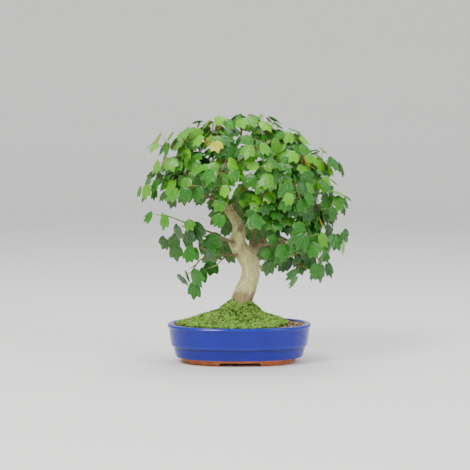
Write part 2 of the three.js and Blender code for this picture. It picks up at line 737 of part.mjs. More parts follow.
const treeRoom = treeSolid(seatGap);
const bonsai = new THREE.Group();
bonsai.add(meshOf('pot', potSolid(), glaze));
bonsai.add(meshOf('soil', soilSolid(treeRoom), soilTone));
bonsai.add(meshOf('moss', mossSolid(treeRoom), mossTone));
bonsai.add(meshOf('trunk', treeSolid(), bark));
for (const [name, side] of [['left', -1], ['right', 1]]) {
  bonsai.add(meshOf(`drain_screen_${name}`, screenSolid(side * drainSpacing / 2), plastic));
  bonsai.add(meshOf(`screen_wire_${name}`, wireSolid(side * drainSpacing / 2), wire));
}
for (const [i, solid] of shootSolids().entries()) {
  const name = `shoot_${String(i + 1).padStart(2, '0')}`;
  bonsai.add(meshOf(name, solid, leafGreens[i % leafGreens.length]));
}

// The origin is under the middle of the whole plant, on the surface that it stands on.
bonsai.updateMatrixWorld(true);
const bounds = new THREE.Box3().setFromObject(bonsai, true);
const middle = bounds.getCenter(new THREE.Vector3());
bonsai.position.set(-middle.x, -middle.y, -bounds.min.z);

export default bonsai;
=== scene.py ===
"""A trident maple bonsai in an oval glazed pot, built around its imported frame."""

import math
import random

import bmesh
import bpy
import numpy as np
from mathutils import Matrix, Vector
from mathutils.bvhtree import BVHTree


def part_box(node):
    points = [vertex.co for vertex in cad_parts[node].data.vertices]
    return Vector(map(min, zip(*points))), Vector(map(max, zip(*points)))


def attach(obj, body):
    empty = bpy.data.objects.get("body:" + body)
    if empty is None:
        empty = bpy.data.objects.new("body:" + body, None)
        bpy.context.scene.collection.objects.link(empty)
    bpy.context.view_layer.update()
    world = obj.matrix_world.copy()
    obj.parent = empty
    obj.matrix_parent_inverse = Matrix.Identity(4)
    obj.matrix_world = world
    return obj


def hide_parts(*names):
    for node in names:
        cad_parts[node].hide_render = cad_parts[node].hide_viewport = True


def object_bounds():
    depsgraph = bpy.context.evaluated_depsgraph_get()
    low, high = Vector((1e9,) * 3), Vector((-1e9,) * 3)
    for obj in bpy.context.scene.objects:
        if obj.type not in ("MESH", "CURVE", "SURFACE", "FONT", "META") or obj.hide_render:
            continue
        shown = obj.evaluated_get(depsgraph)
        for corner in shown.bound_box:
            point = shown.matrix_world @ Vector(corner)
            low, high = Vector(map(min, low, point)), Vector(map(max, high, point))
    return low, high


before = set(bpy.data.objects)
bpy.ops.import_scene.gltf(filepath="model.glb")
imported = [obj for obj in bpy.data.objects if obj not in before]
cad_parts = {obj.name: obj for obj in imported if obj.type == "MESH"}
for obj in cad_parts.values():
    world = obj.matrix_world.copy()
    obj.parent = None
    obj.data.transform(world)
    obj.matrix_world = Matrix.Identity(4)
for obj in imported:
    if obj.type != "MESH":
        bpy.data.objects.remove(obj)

bl_info = {
    "name": "Potted maple bonsai",
    "version": (1, 0, 0),
    "blender": (4, 5, 0),
    "location": "3D View > Sidebar > Bonsai",
    "description": "Glazed pot, moss, bark and leaves for a trident maple bonsai",
    "category": "Add Mesh",
}

CAD_LOW, CAD_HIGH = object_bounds()
POT_LOW, POT_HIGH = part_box("pot")
POT_CENTRE = (POT_LOW + POT_HIGH) / 2
POT_HALF = (POT_HIGH - POT_LOW) / 2
SHOOTS = sorted(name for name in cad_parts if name.startswith("shoot_"))
SCREENS = ("drain_screen_left", "drain_screen_right")
WIRES = ("screen_wire_left", "screen_wire_right")

UP = Vector((0, 0, 1))
MM = 0.001
CROWN_CENTRE = Vector((POT_CENTRE.x + 0.012, POT_CENTRE.y, 0.285))
CROWN_REACH = Vector((0.190, 0.145, 0.150))


# ---------------------------------------------------------------- sizes and colours to change

def colour(name, description, red, green, blue):
    """A colour setting, its default given as it looks on a screen."""
    linear = [(((c / 255) + 0.055) / 1.055) ** 2.4 if c > 10 else c / 3295 for c in (red, green, blue)]
    return bpy.props.FloatVectorProperty(
        name=name, description=description, subtype="COLOR", size=3, min=0, max=1, default=linear)


def length(name, description, millimetres):
    return bpy.props.FloatProperty(
        name=name, description=description, unit="LENGTH", min=0, default=millimetres * MM)


def share(name, description, default):
    return bpy.props.FloatProperty(
        name=name, description=description, subtype="FACTOR", min=0, max=1, default=default)


def number(name, description, default, least=0):
    return bpy.props.IntProperty(
        name=name, description=description, subtype="UNSIGNED", min=least, default=default)


class BonsaiPotSettings(bpy.types.PropertyGroup):
    sides: number("Sides", "Corners round the oval", 128, 32)
    glaze: colour("Glaze", "Where the glaze is thick", 0, 18, 160)
    thin_glaze: colour("Thin glaze", "On edges where the glaze runs thin", 40, 70, 186)
    clay: colour("Clay", "The bare foot", 200, 120, 74)
    rings: length("Throwing rings", "Height of one faint ring in the glaze", 3.2)


class BonsaiGroundSettings(bpy.types.PropertyGroup):
    # Painted light and shade: the moss tips are lit and the depths between the sprigs are shaded.
    moss_light: colour("Moss tips", "The sunlit tips of the moss", 168, 232, 96)
    moss_shade: colour("Moss depths", "Between the moss sprigs", 40, 68, 14)
    soil: colour("Soil", "The damp soil", 92, 66, 44)
    grain: colour("Grain", "The lighter soil grains", 176, 142, 100)
    sprigs: number("Sprigs", "Number of blades of moss", 24000)
    sprig_height: length("Sprig height", "A tall moss sprig", 6.2)
    grains: number("Grains", "Number of soil grains", 2600)
    grain_size: length("Grain size", "Half the width of a large grain", 1.9)


class BonsaiWoodSettings(bpy.types.PropertyGroup):
    bark: colour("Bark", "Sunlit bark", 232, 226, 164)
    # Painted shade in the bark's furrows; the same colour also draws its real streaks and, darker, its
    # spots.
    furrow_shade_and_streaks: colour("Bark in the furrows", "Furrows and old bark", 178, 164, 104)
    young: colour("Young wood", "Thin branches", 92, 66, 44)
    stalk: colour("Leaf stalks", "Stalks and twigs", 136, 120, 52)
    voxel: length("Bark fineness", "Size of the smallest swelling of the bark", 1.0)


class BonsaiLeafSettings(bpy.types.PropertyGroup):
    dark: colour("Dark leaf", "Old leaves, in shade", 8, 58, 18)
    middle: colour("Leaf", "Most leaves", 28, 108, 4)
    light: colour("Light leaf", "Young leaves", 98, 170, 2)
    turned: colour("Turned leaf", "A few leaves that turn early", 222, 166, 4)
    under: colour("Underside", "The pale side of a leaf", 104, 158, 82)
    gloss: share("Roughness", "Roughness of a leaf's upper side", 0.36)
    extra: number("More leaves", "Times that a leaf is tried beside each leaf", 4)


class BonsaiStageSettings(bpy.types.PropertyGroup):
    floor: colour("Floor", "The plain floor and backdrop", 236, 235, 232)
    lens: bpy.props.FloatProperty(
        name="Lens", description="Focal length, in mm", unit="CAMERA", min=10, default=124)
    distance: length("Distance", "From the camera to the middle of the pot", 2800)
    eye: length("Eye height", "The camera's height", 416)


# ---------------------------------------------------------------- modelling helpers

def settings(name):
    return getattr(bpy.context.scene, name)


def deselect():
    if bpy.context.mode != "OBJECT":
        bpy.ops.object.mode_set(mode="OBJECT")
    bpy.ops.object.select_all(action="DESELECT")


def pick(obj):
    """Makes an object the only one selected, and the active one."""
    deselect()
    obj.select_set(True)
    bpy.context.view_layer.objects.active = obj


def edit_all():
    """Opens the active object's mesh for editing, with all of it selected."""
    bpy.ops.object.mode_set(mode="EDIT")
    bpy.ops.mesh.select_all(action="SELECT")


def linked(name, data):
    """A new object in the scene."""
    obj = bpy.data.objects.new(name, data)
    bpy.context.scene.collection.objects.link(obj)
    return obj


def new_piece(name):
    """Names what a primitive operator has just added."""
    obj = bpy.context.object
    obj.name = name
    obj.data.name = name
    return obj


def copy_of_node(node, name):
    """A copy of a CAD node with its loose triangles joined up."""
    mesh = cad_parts[node].data.copy()
    mesh.materials.clear()
    obj = linked(name, mesh)
    pick(obj)
    edit_all()
    bpy.ops.mesh.remove_doubles(threshold=2e-6)
    bpy.ops.object.mode_set(mode="OBJECT")
    return obj


def modify(obj, kind, **values):
    """Adds a modifier, sets it and applies it."""
    pick(obj)
    modifier = obj.modifiers.new(kind.title(), kind)
    for name, value in values.items():
        setattr(modifier, name, value)
    bpy.ops.object.modifier_apply(modifier=modifier.name)


def swell(obj, size, strength):
    """Raises and lowers a surface by a pattern of clouds of this size."""
    texture = bpy.data.textures.new(f"{obj.name}_swell", "CLOUDS")
    texture.noise_scale, texture.noise_depth = size, 3
    modify(obj, "DISPLACE", texture=texture, strength=strength, mid_level=0.5)


def opened(obj):
    """An object's mesh, to be worked on point by point."""
    work = bmesh.new()
    work.from_mesh(obj.data)
    return work


def written(work, obj):
    """Writes a mesh back, with all its faces turned outward."""
    bmesh.ops.recalc_face_normals(work, faces=work.faces)
    work.to_mesh(obj.data)
    work.free()


def smooth(obj, degrees):
    pick(obj)
    bpy.ops.object.shade_smooth_by_angle(angle=math.radians(degrees))


def finished(obj, slot_name, *nodes, materials=()):
    """Materials, body and CAD nodes for a piece that is ready."""
    for material in materials:
        obj.data.materials.append(material)
    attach(obj, "root")
    if nodes:
        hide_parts(*nodes)
    return obj


def surface_tree(obj):
    mesh = obj.data
    points = [vertex.co.copy() for vertex in mesh.vertices]
    return BVHTree.FromPolygons(points, [tuple(face.vertices) for face in mesh.polygons])


def write_values(mesh, name, values):
    """A named value for each of a mesh's points."""
    layer = mesh.attributes.new(name, "FLOAT", "POINT")
    layer.data.foreach_set("value", np.asarray(values, dtype=np.float64))


class Shape:
    """One modelled shape, ready to be repeated many times in one mesh."""

    def __init__(self, obj):
        mesh = obj.data
        self.points = self.read(mesh.vertices, "co", 3)
        self.corners = self.read(mesh.loops, "vertex_index", 1, np.int32)
        self.starts = self.read(mesh.polygons, "loop_start", 1, np.int32)
        self.finishes = self.read(mesh.polygons, "material_index", 1, np.int32)
        self.faces = [tuple(face.vertices) for face in mesh.polygons]
        bpy.data.objects.remove(obj)

    @staticmethod
    def read(items, field, width, kind=np.float64):
        values = np.empty(len(items) * width, dtype=kind)
        items.foreach_get(field, values)
        return values.reshape(-1, width) if width > 1 else values

    def placed(self, frames, sizes, roots):
        """The shape's points, scaled, turned and moved to each of many places."""
        return np.einsum("nij,nkj->nki", frames, self.points[None] * sizes[:, None]) + roots[:, None]

    def repeat(self, name, placed, point_values=None, copy_values=None, uv=None):
        """A mesh of this shape at each set of placed points. Values are named lists for the
        shape's points, the same on every copy, or one value for each copy."""
        count = len(placed)
        size, corners, faces = len(self.points), len(self.corners), len(self.starts)
        mesh = bpy.data.meshes.new(name)
        mesh.vertices.add(count * size)
        mesh.vertices.foreach_set("co", np.asarray(placed, dtype=np.float64).ravel())
        mesh.loops.add(count * corners)
        shift = np.arange(count)[:, None]
        indices = (self.corners[None] + shift * size).ravel()
        mesh.loops.foreach_set("vertex_index", indices.astype(np.int32))
        mesh.polygons.add(count * faces)
        starts = (self.starts[None] + shift * corners).ravel()
        mesh.polygons.foreach_set("loop_start", starts.astype(np.int32))
        mesh.polygons.foreach_set("material_index", np.tile(self.finishes, count))
        mesh.update(calc_edges=True)
        for field, values in (point_values or {}).items():
            write_values(mesh, field, np.tile(values, count))
        for field, values in (copy_values or {}).items():
            write_values(mesh, field, np.repeat(values, size))
        if uv is not None:
            layer = mesh.uv_layers.new(name="UVMap")
            layer.data.foreach_set("uv", np.tile(np.asarray(uv)[self.corners], (count, 1)).ravel())
        mesh.validate()
        return linked(name, mesh)


def sides_of(triangles):
    """The way each triangle faces, as long as twice its area."""
    return np.cross(triangles[:, 1] - triangles[:, 0], triangles[:, 2] - triangles[:, 0])


def scattered(rng, triangles, count):
    """Points spread evenly over some triangles, each with the normal of its triangle."""
    sides = sides_of(triangles)
    area = np.linalg.norm(sides, axis=1)
    chosen = rng.choice(len(triangles), size=count, p=area / area.sum())
    one, two = rng.random((2, count, 1))
    fold = (one + two) > 1
    one, two = np.where(fold, 1 - one, one), np.where(fold, 1 - two, two)
    corner = triangles[chosen]
    points = corner[:, 0] + one * (corner[:, 1] - corner[:, 0]) + two * (corner[:, 2] - corner[:, 0])
    return points, sides[chosen] / area[chosen, None]


def triangles_of(obj):
    mesh = obj.data
    mesh.calc_loop_triangles()
    points = Shape.read(mesh.vertices, "co", 3)
    corners = Shape.read(mesh.loop_triangles, "vertices", 3, np.int32)
    return points[corners]


def turned_frames(rng, normals, lean):
    """A right-handed frame on each normal, leaning a little and turned at random."""
    count = len(normals)
    axis = normals + rng.normal(0, lean, (count, 3))
    axis /= np.linalg.norm(axis, axis=1, keepdims=True)
    side = np.cross(axis, rng.normal(0, 1, (count, 3)))
    side /= np.linalg.norm(side, axis=1, keepdims=True)
    return np.stack([side, np.cross(axis, side), axis], axis=2)


# ---------------------------------------------------------------- material helpers

def darker(tone, share):
    return [c * share for c in tone]


class Finish:
    """A node material in the making."""

    def __init__(self, name):
        self.material = bpy.data.materials.new(name)
        self.material.use_nodes = True
        self.tree = self.material.node_tree
        self.shader = next(node for node in self.tree.nodes if node.type == "BSDF_PRINCIPLED")

    def put(self, socket, value):
        """Links a socket to another, or sets its value."""
        if isinstance(value, bpy.types.NodeSocket):
            self.tree.links.new(value, socket)
        else:
            socket.default_value = (*value, 1) if socket.type == "RGBA" else value

    def add(self, kind, *values, options=None, **inputs):
        """A node, its sockets set or linked by place or by name."""
        node = self.tree.nodes.new(f"ShaderNode{kind}")
        for name, value in (options or {}).items():
            setattr(node, name, value)
        for socket, value in [*enumerate(values), *((k.replace("_", " "), v) for k, v in inputs.items())]:
            self.put(node.inputs[socket], value)
        return node

    def here(self):
        return self.add("TexCoord").outputs["Object"]

    def height(self):
        return self.add("SeparateXYZ", self.here()).outputs["Z"]

    def stretched(self, *scale):
        """Coordinates for a pattern that is drawn out along an axis."""
        return self.add("Mapping", self.here(), Scale=scale).outputs[0]

    def attribute(self, name):
        return self.add("Attribute", options={"attribute_name": name}).outputs["Fac"]

    def noise(self, scale, detail, vector=None, roughness=0.55):
        vector = vector or self.here()
        values = {"Vector": vector, "Scale": scale, "Detail": detail, "Roughness": roughness}
        return self.add("TexNoise", **values).outputs[0]

    def ramp(self, factor, *stops):
        """A value read off a ramp of (position, value or colour) stops."""
        node = self.add("ValToRGB", factor)
        elements = node.color_ramp.elements
        while len(elements) < len(stops):
            elements.new(0.5)
        for element, (position, value) in zip(elements, stops):
            element.position = position
            element.color = (*value, 1) if hasattr(value, "__len__") else (value, value, value, 1)
        return node.outputs[0]

    def math(self, operation, *values):
        return self.add("Math", *values, options={"operation": operation}).outputs[0]

    def times(self, one, two):
        return self.math("MULTIPLY", one, two)

    def plus(self, one, two):
        return self.math("ADD", one, two)

    def minus(self, one, two):
        return self.math("SUBTRACT", one, two)

    def mix(self, factor, one, two):
        """The first colour, with a share of the second."""
        node = self.add("Mix", options={"data_type": "RGBA"})
        for socket, value in ((0, factor), (6, one), (7, two)):
            self.put(node.inputs[socket], value)
        return node.outputs[2]

    def bump(self, height, distance, strength, **normal):
        return self.add("Bump", Height=height, Distance=distance, Strength=strength, **normal).outputs[0]

    def done(self, **inputs):
        for name, value in inputs.items():
            self.put(self.shader.inputs[name.replace("_", " ")], value)
        return self.material


# ---------------------------------------------------------------- the pot

# The pot from under its foot, over the lip and down inside: each ring's set-back from the lip
# and its height, in millimetres.
POT_RINGS = (
    (41, 8), (40, 1.2), (39.2, 0.2), (38.4, 0), (30, 0), (29.2, 0.3), (28.6, 1.4), (26.6, 4.2), (25.4, 7.2),
    (25, 9.6), (24.2, 10.4), (22.5, 10.6), (16.5, 10.6), (14.9, 10.9), (14.1, 12), (13.2, 15), (11.8, 20),
    (10.4, 25.6), (9.6, 28.4), (9.2, 29.3), (8.2, 29.9), (6.9, 30.5), (6.1, 31.4), (5.8, 32.6), (5.5, 35),
    (4.6, 42), (3.6, 50), (2.7, 57), (2.3, 60), (2.1, 61.2), (1.3, 62), (0.4, 63), (0, 64.4), (0.1, 65.6),
    (0.7, 66.7), (1.8, 67.6), (3.2, 68), (6.4, 68), (8.4, 67.9), (9.9, 67.3), (10.7, 66.2), (11, 64.6),
    (11.4, 61), (17.2, 31), (21.8, 19), (24.6, 15.6), (29, 14),
)
GLAZE_FROM, CLAY_INSIDE_BELOW = 10.8, 58
# The power in the oval's equation: 2 for an ellipse, more for a squarer oval.
OVALNESS = 2.3
# The arches between the feet, in millimetres: their widths, their height, how far their cutters
# reach below the floor, and how much wider they are there on each side.
FRONT_ARCH, END_ARCH, ARCH_HEIGHT, ARCH_BELOW, ARCH_FLARE = 68, 58, 5.5, 2, 21 / 5.5
DRAIN_DIAMETER, DRAIN_SPACING, DRAIN_HEIGHT, DRAIN_DEPTH = 20, 96, 11, 12


def oval(setback, turn):
    """A point of the pot's oval, so far in from its lip."""
    x, y = POT_HALF.x - setback * MM, POT_HALF.y - setback * MM
    cos, sin = math.cos(turn), math.sin(turn)
    return Vector((
        POT_CENTRE.x + x * math.copysign(abs(cos) ** (2 / OVALNESS), cos),
        POT_CENTRE.y + y * math.copysign(abs(sin) ** (2 / OVALNESS), sin), 0))


def pot_shell(sides):
    """Draws the rings up one from another, and closes the first and the last."""
    deselect()
    bpy.ops.mesh.primitive_circle_add(vertices=sides, radius=POT_HALF.x, fill_type="NOTHING")
    pot = new_piece("pot_body")
    setback, height = POT_RINGS[0]
    for i, vertex in enumerate(pot.data.vertices):
        vertex.co = oval(setback, 2 * math.pi * i / sides) + UP * height * MM
    edit_all()
    bpy.ops.mesh.edge_face_add()
    centre = (POT_CENTRE.x, POT_CENTRE.y, 0)
    for (setback, height), (next_setback, next_height) in zip(POT_RINGS, POT_RINGS[1:]):
        bpy.ops.mesh.extrude_region_move(
            TRANSFORM_OT_translate={"value": (0, 0, (next_height - height) * MM)})
        grow = [(h - next_setback * MM) / (h - setback * MM) for h in POT_HALF.xy]
        bpy.ops.transform.resize(value=(*grow, 1), center_override=centre)
    bpy.ops.mesh.select_all(action="SELECT")
    bpy.ops.mesh.remove_doubles(threshold=1e-6)
    bpy.ops.mesh.normals_make_consistent(inside=False)
    bpy.ops.object.mode_set(mode="OBJECT")
    return pot


def arch_cutter(span, reach, turn):
    """A long block, narrower at its top, laid under the pot."""
    deselect()
    bpy.ops.mesh.primitive_cube_add(size=1)
    block = new_piece("arch_cutter")
    for vertex in block.data.vertices:
        side, along, level = (math.copysign(1, value) for value in vertex.co)
        wide, height = (span / 2, ARCH_HEIGHT) if level > 0 else (span / 2 + ARCH_FLARE, -ARCH_BELOW)
        vertex.co = Vector((side * wide, along * reach, height)) * MM
    centre = Matrix.Translation((POT_CENTRE.x, POT_CENTRE.y, 0))
    block.data.transform(centre @ Matrix.Rotation(turn, 4, "Z"))
    modify(block, "BEVEL", width=1.2 * MM, segments=3, limit_method="ANGLE")
    return block


def drain_cutter(side):
    deselect()
    centre = (POT_CENTRE.x + side * DRAIN_SPACING / 2 * MM, POT_CENTRE.y, DRAIN_HEIGHT * MM)
    bpy.ops.mesh.primitive_cylinder_add(
        vertices=48, radius=DRAIN_DIAMETER / 2 * MM, depth=DRAIN_DEPTH * MM, location=centre)
    hole = new_piece("drain_cutter")
    bpy.ops.object.transform_apply()
    return hole


def cut_away(obj, cutter):
    modify(obj, "BOOLEAN", operation="DIFFERENCE", object=cutter, solver="EXACT")
    bpy.data.objects.remove(cutter)


def glaze_finish():
    pot = settings("bonsai_pot")
    finish = Finish("glaze")
    height = finish.height()
    level = finish.times(height, 14.0)
    pooled = finish.noise(28, 3)
    thin = finish.ramp(
        level, (0.150, 0.4), (0.185, 0), (0.42, 0), (0.445, 0.4), (0.48, 0.25), (0.53, 0.04),
        (0.87, 0), (0.94, 0.6))
    fleck = finish.ramp(finish.noise(900, 2), (0.62, 0), (0.70, 0.16))
    blue = finish.mix(finish.ramp(pooled, (0.3, 0.0), (0.75, 0.6)), darker(pot.glaze, 0.62), pot.glaze)
    blue = finish.mix(finish.times(thin, 0.6), blue, pot.thin_glaze)
    # Painted shade: the glaze is darkened in a band just under the belt's step.
    belt_step_shade = finish.ramp(level, (0.36, 0), (0.40, 0.8), (0.42, 0.8), (0.435, 0))
    blue = finish.mix(belt_step_shade, blue, darker(pot.glaze, 0.3))
    blue = finish.mix(fleck, blue, pot.thin_glaze)
    rings = finish.math("SINE", finish.times(height, 2 * math.pi / pot.rings))
    rings = finish.plus(finish.times(rings, 0.2), finish.noise(30, 2))
    normal = finish.bump(rings, 0.0009, 0.7)
    normal = finish.bump(finish.noise(700, 2), 0.00004, 0.5, Normal=normal)
    return finish.done(
        Base_Color=blue, Roughness=finish.ramp(pooled, (0.3, 0.1), (0.8, 0.2)), Normal=normal,
        Coat_Weight=0.15, Coat_Roughness=0.05, Specular_IOR_Level=0.4)


def clay_finish():
    pot = settings("bonsai_pot")
    finish = Finish("bare_clay")
    fine = finish.noise(1400, 4)
    broad = finish.noise(60, 4)
    base = finish.mix(finish.ramp(broad, (0.3, 0), (0.7, 1)), darker(pot.clay, 0.62), pot.clay)
    base = finish.mix(finish.ramp(fine, (0.55, 0), (0.75, 0.5)), base, (0.08, 0.045, 0.03))
    return finish.done(Base_Color=base, Roughness=0.86, Normal=finish.bump(fine, 0.00025, 0.7))


class BONSAI_OT_pot(bpy.types.Operator):
    """Draw the glazed pot up from its foot, and cut its arches and drain holes."""
    bl_idname = "bonsai.pot"
    bl_label = "Pot"

    def execute(self, context):
        pot = pot_shell(settings("bonsai_pot").sides)
        cut_away(pot, arch_cutter(FRONT_ARCH, 100, 0))
        cut_away(pot, arch_cutter(END_ARCH, 140, math.pi / 2))
        for side in (-1, 1):
            cut_away(pot, drain_cutter(side))
        for face in pot.data.polygons:
            middle = face.center - POT_CENTRE
            inward = Vector((middle.x / POT_HALF.x, middle.y / POT_HALF.y)).dot(face.normal.xy) < 0
            height = face.center.z / MM
            bare = height < GLAZE_FROM or (inward and height < CLAY_INSIDE_BELOW)
            face.material_index = 1 if bare else 0
        smooth(pot, 38)
        finished(pot, "pot_glaze", "pot", materials=[glaze_finish(), clay_finish()])
        return {"FINISHED"}


# ---------------------------------------------------------------- drain screens and their wires

def plastic_finish():
    finish = Finish("black_mesh_plastic")
    grain = finish.noise(2600, 3)
    tone = finish.ramp(grain, (0.3, (0.012, 0.013, 0.013)), (0.7, (0.028, 0.030, 0.029)))
    return finish.done(
        Base_Color=tone, Roughness=finish.ramp(grain, (0.3, 0.42), (0.7, 0.6)),
        Normal=finish.bump(grain, 0.00005, 0.4))


def wire_finish():
    finish = Finish("aluminium_wire")
    drawn = finish.noise(900, 4, finish.stretched(1, 8, 8))
    tarnish = finish.ramp(finish.noise(240, 3), (0.4, (0.60, 0.61, 0.62)), (0.72, (0.36, 0.34, 0.31)))
    return finish.done(
        Base_Color=tarnish, Metallic=1.0, Roughness=finish.ramp(drawn, (0.3, 0.28), (0.7, 0.48)),
        Normal=finish.bump(drawn, 0.00003, 0.4))


def dress_node(name, material):
    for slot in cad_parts[name].material_slots:
        slot.material = material


class BONSAI_OT_drainage(bpy.types.Operator):
    """Give the drain screens and the wires that hold them their finishes."""
    bl_idname = "bonsai.drainage"
    bl_label = "Drainage"

    def execute(self, context):
        plastic, wire = plastic_finish(), wire_finish()
        for name in SCREENS:
            dress_node(name, plastic)
        for name in WIRES:
            dress_node(name, wire)
        return {"FINISHED"}


# ---------------------------------------------------------------- soil and moss

BLADES_IN_TUFT = 6
TRUNK_FOOT = (POT_CENTRE.x + 4 * MM, POT_CENTRE.y)
# The moss climbs the trunk's foot: this high within one distance of its middle, and not at all
# beyond another.
COLLAR_HEIGHT, COLLAR_FULL, COLLAR_END = 16 * MM, 20 * MM, 46 * MM


def smoothstep(start, end, value):
    """0 up to the start, 1 from the end on, and an even curve between them."""
    share = min(max((value - start) / (end - start), 0), 1)
    return share * share * (3 - 2 * share)


def soil_finish():
    ground = settings("bonsai_ground")
    finish = Finish("damp_soil")
    crumbs = finish.add("TexVoronoi", Vector=finish.here(), Scale=420.0)
    broad = finish.noise(90, 4)
    tone = finish.mix(finish.ramp(broad, (0.35, 0), (0.7, 1)), darker(ground.soil, 0.45), ground.soil)
    tone = finish.mix(finish.ramp(crumbs.outputs["Color"], (0.55, 0), (0.85, 0.7)), tone, ground.grain)
    height = finish.times(crumbs.outputs["Distance"], -1.0)
    return finish.done(Base_Color=tone, Roughness=0.95, Normal=finish.bump(height, 0.0016, 0.8))


def grain_finish():
    ground = settings("bonsai_ground")
    finish = Finish("soil_grains")
    tone = finish.attribute("tone")
    base = finish.ramp(
        tone, (0.0, darker(ground.soil, 0.35)), (0.45, ground.soil), (0.8, ground.grain),
        (1.0, (0.62, 0.55, 0.44)))
    pores = finish.noise(1700, 3)
    base = finish.mix(finish.ramp(pores, (0.5, 0), (0.75, 0.5)), base, darker(ground.soil, 0.3))
    return finish.done(Base_Color=base, Roughness=0.93, Normal=finish.bump(pores, 0.0003, 0.8))


def moss_finish(name, sprigs):
    """The moss mat, or its sprigs, which are lighter at the tips: painted light on the tips, and painted
    shade at their feet and on the mat between them.
    """
    ground = settings("bonsai_ground")
    finish = Finish(name)
    patch = finish.ramp(finish.noise(34, 3), (0.35, 0), (0.68, 1))
    if sprigs:
        # Painted light and shade: each blade is lighter toward its tip and darker at its foot.
        tip = finish.times(finish.attribute("tip"), 0.55)
        lightness = finish.plus(tip, finish.times(finish.attribute("tone"), 0.5))
    else:
        # Painted shade: the mat between the sprigs stays in the dark half of the ramp.
        lightness = finish.times(finish.noise(520, 4), 0.55)
    green = finish.ramp(
        lightness, (0.0, darker(ground.moss_shade, 0.5)), (0.42, ground.moss_shade),
        (0.9, ground.moss_light))
    ochre = finish.ramp(lightness, (0.0, (0.04, 0.035, 0.01)), (0.95, (0.48, 0.46, 0.16)))
    tone = finish.mix(finish.times(patch, 0.3), green, ochre)
    normal = finish.bump(finish.noise(1200, 3), 0.0008, 0.8)
    return finish.done(Base_Color=tone, Roughness=0.88, Normal=normal, Specular_IOR_Level=0.25)


def moss_mat():
    """The moss as one soft, cushioned mat, from the CAD moss."""
    mat = copy_of_node("moss", "moss_mat")
    modify(mat, "REMESH", mode="VOXEL", voxel_size=1.5 * MM)
    modify(mat, "SMOOTH", factor=0.6, iterations=12)
    swell(mat, 0.030, 6.0 * MM)
    swell(mat, 0.009, 3.2 * MM)
    for vertex in mat.data.vertices:
        x, y = vertex.co.x - TRUNK_FOOT[0], vertex.co.y - TRUNK_FOOT[1]
        near = smoothstep(COLLAR_END, COLLAR_FULL, math.hypot(x, y)) * smoothstep(0, -13 * MM, y)
        vertex.co.z += COLLAR_HEIGHT * near
    smooth(mat, 80)
    return finished(mat, "moss", "moss", materials=[moss_finish("moss_shaded_depths", False)])


def sprig_shape():
    """A three-sided blade of length 1, pointed at both ends and widest near its foot."""
    deselect()
    bpy.ops.mesh.primitive_cone_add(
        vertices=3, radius1=0.32, radius2=0, depth=0.64, location=(0, 0, 0.68), end_fill_type="TRIFAN")
    sprig = new_piece("sprig")
    bpy.ops.object.transform_apply()
    for vertex in sprig.data.vertices:
        if vertex.co.xy.length < 0.01 and vertex.co.z < 0.9:
            vertex.co.z = 0
    return Shape(sprig)


def moss_sprigs(mat):
    """Small tufts, each of a few blades that lean out from its middle."""
    ground = settings("bonsai_ground")
    rng = np.random.default_rng(41)
    triangles = triangles_of(mat)
    normals = sides_of(triangles)
    normals /= np.maximum(np.linalg.norm(normals, axis=1, keepdims=True), 1e-12)
    tufts = ground.sprigs // BLADES_IN_TUFT
    points, normals = scattered(rng, triangles[normals[:, 2] > 0.25], tufts)
    frames = turned_frames(rng, normals + np.array([0, 0, 0.35]), 0.22)
    frames = np.repeat(frames, BLADES_IN_TUFT, axis=0)
    around = np.tile(np.arange(BLADES_IN_TUFT), tufts) * 2 * math.pi / BLADES_IN_TUFT
    around += rng.uniform(-0.4, 0.4, len(around))
    lean = rng.uniform(0.15, 0.95, len(around))
    axis = np.stack([np.cos(around) * np.sin(lean), np.sin(around) * np.sin(lean), np.cos(lean)], axis=1)
    blades = turned_frames(rng, np.einsum("nij,nj->ni", frames, axis), 0.05)
    shape = sprig_shape()
    tuft_size = np.repeat(rng.uniform(0.55, 1.0, tufts), BLADES_IN_TUFT)
    high = ground.sprig_height * tuft_size * rng.uniform(0.7, 1.0, len(around))
    wide = high * rng.uniform(0.6, 0.9, len(around))
    roots = np.repeat(points - 0.8 * MM * normals, BLADES_IN_TUFT, axis=0)
    placed = shape.placed(blades, np.stack([wide, wide, high], axis=1), roots)
    tone = np.repeat(rng.random(tufts), BLADES_IN_TUFT) * 0.75 + rng.random(len(around)) * 0.25
    sprigs = shape.repeat("moss_sprigs", placed, {"tip": shape.points[:, 2]}, {"tone": tone})
    finished(sprigs, "moss", materials=[moss_finish("moss_tips", True)])


def grain_shape():
    """An uneven crumb of radius 1."""
    deselect()
    bpy.ops.mesh.primitive_ico_sphere_add(subdivisions=1, radius=1)
    grain = new_piece("grain")
    rng = random.Random(5)
    for vertex in grain.data.vertices:
        vertex.co *= rng.uniform(0.75, 1.15)
    return Shape(grain)


def soil_grains(mat):
    """Loose grains wherever the soil shows beside the moss."""
    ground = settings("bonsai_ground")
    rng = np.random.default_rng(17)
    cover = surface_tree(mat)
    triangles = triangles_of(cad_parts["soil"])
    middles = triangles.mean(axis=1)
    top = (sides_of(triangles)[:, 2] > 0) & (middles[:, 2] > POT_HIGH.z - 12 * MM)
    points, normals = scattered(rng, triangles[top], ground.grains * 5)
    open_sky = [cover.ray_cast(Vector(point) - UP * 2 * MM, UP)[0] is None for point in points]
    points = points[open_sky][: ground.grains]
    normals = normals[open_sky][: ground.grains]
    frames = turned_frames(rng, normals, 1.0)
    shape = grain_shape()
    count = len(points)
    size = ground.grain_size * rng.uniform(0.35, 1.0, (count, 1)) ** 1.3
    size = size * rng.uniform(0.7, 1.1, (count, 3))
    roots = points + np.outer(rng.uniform(0, 0.9, count), (0, 0, 1)) * MM
    placed = shape.placed(frames, size, roots)
    grains = shape.repeat("soil_grains", placed, None, {"tone": rng.random(count)})
    smooth(grains, 20)
    finished(grains, "soil", materials=[grain_finish()])


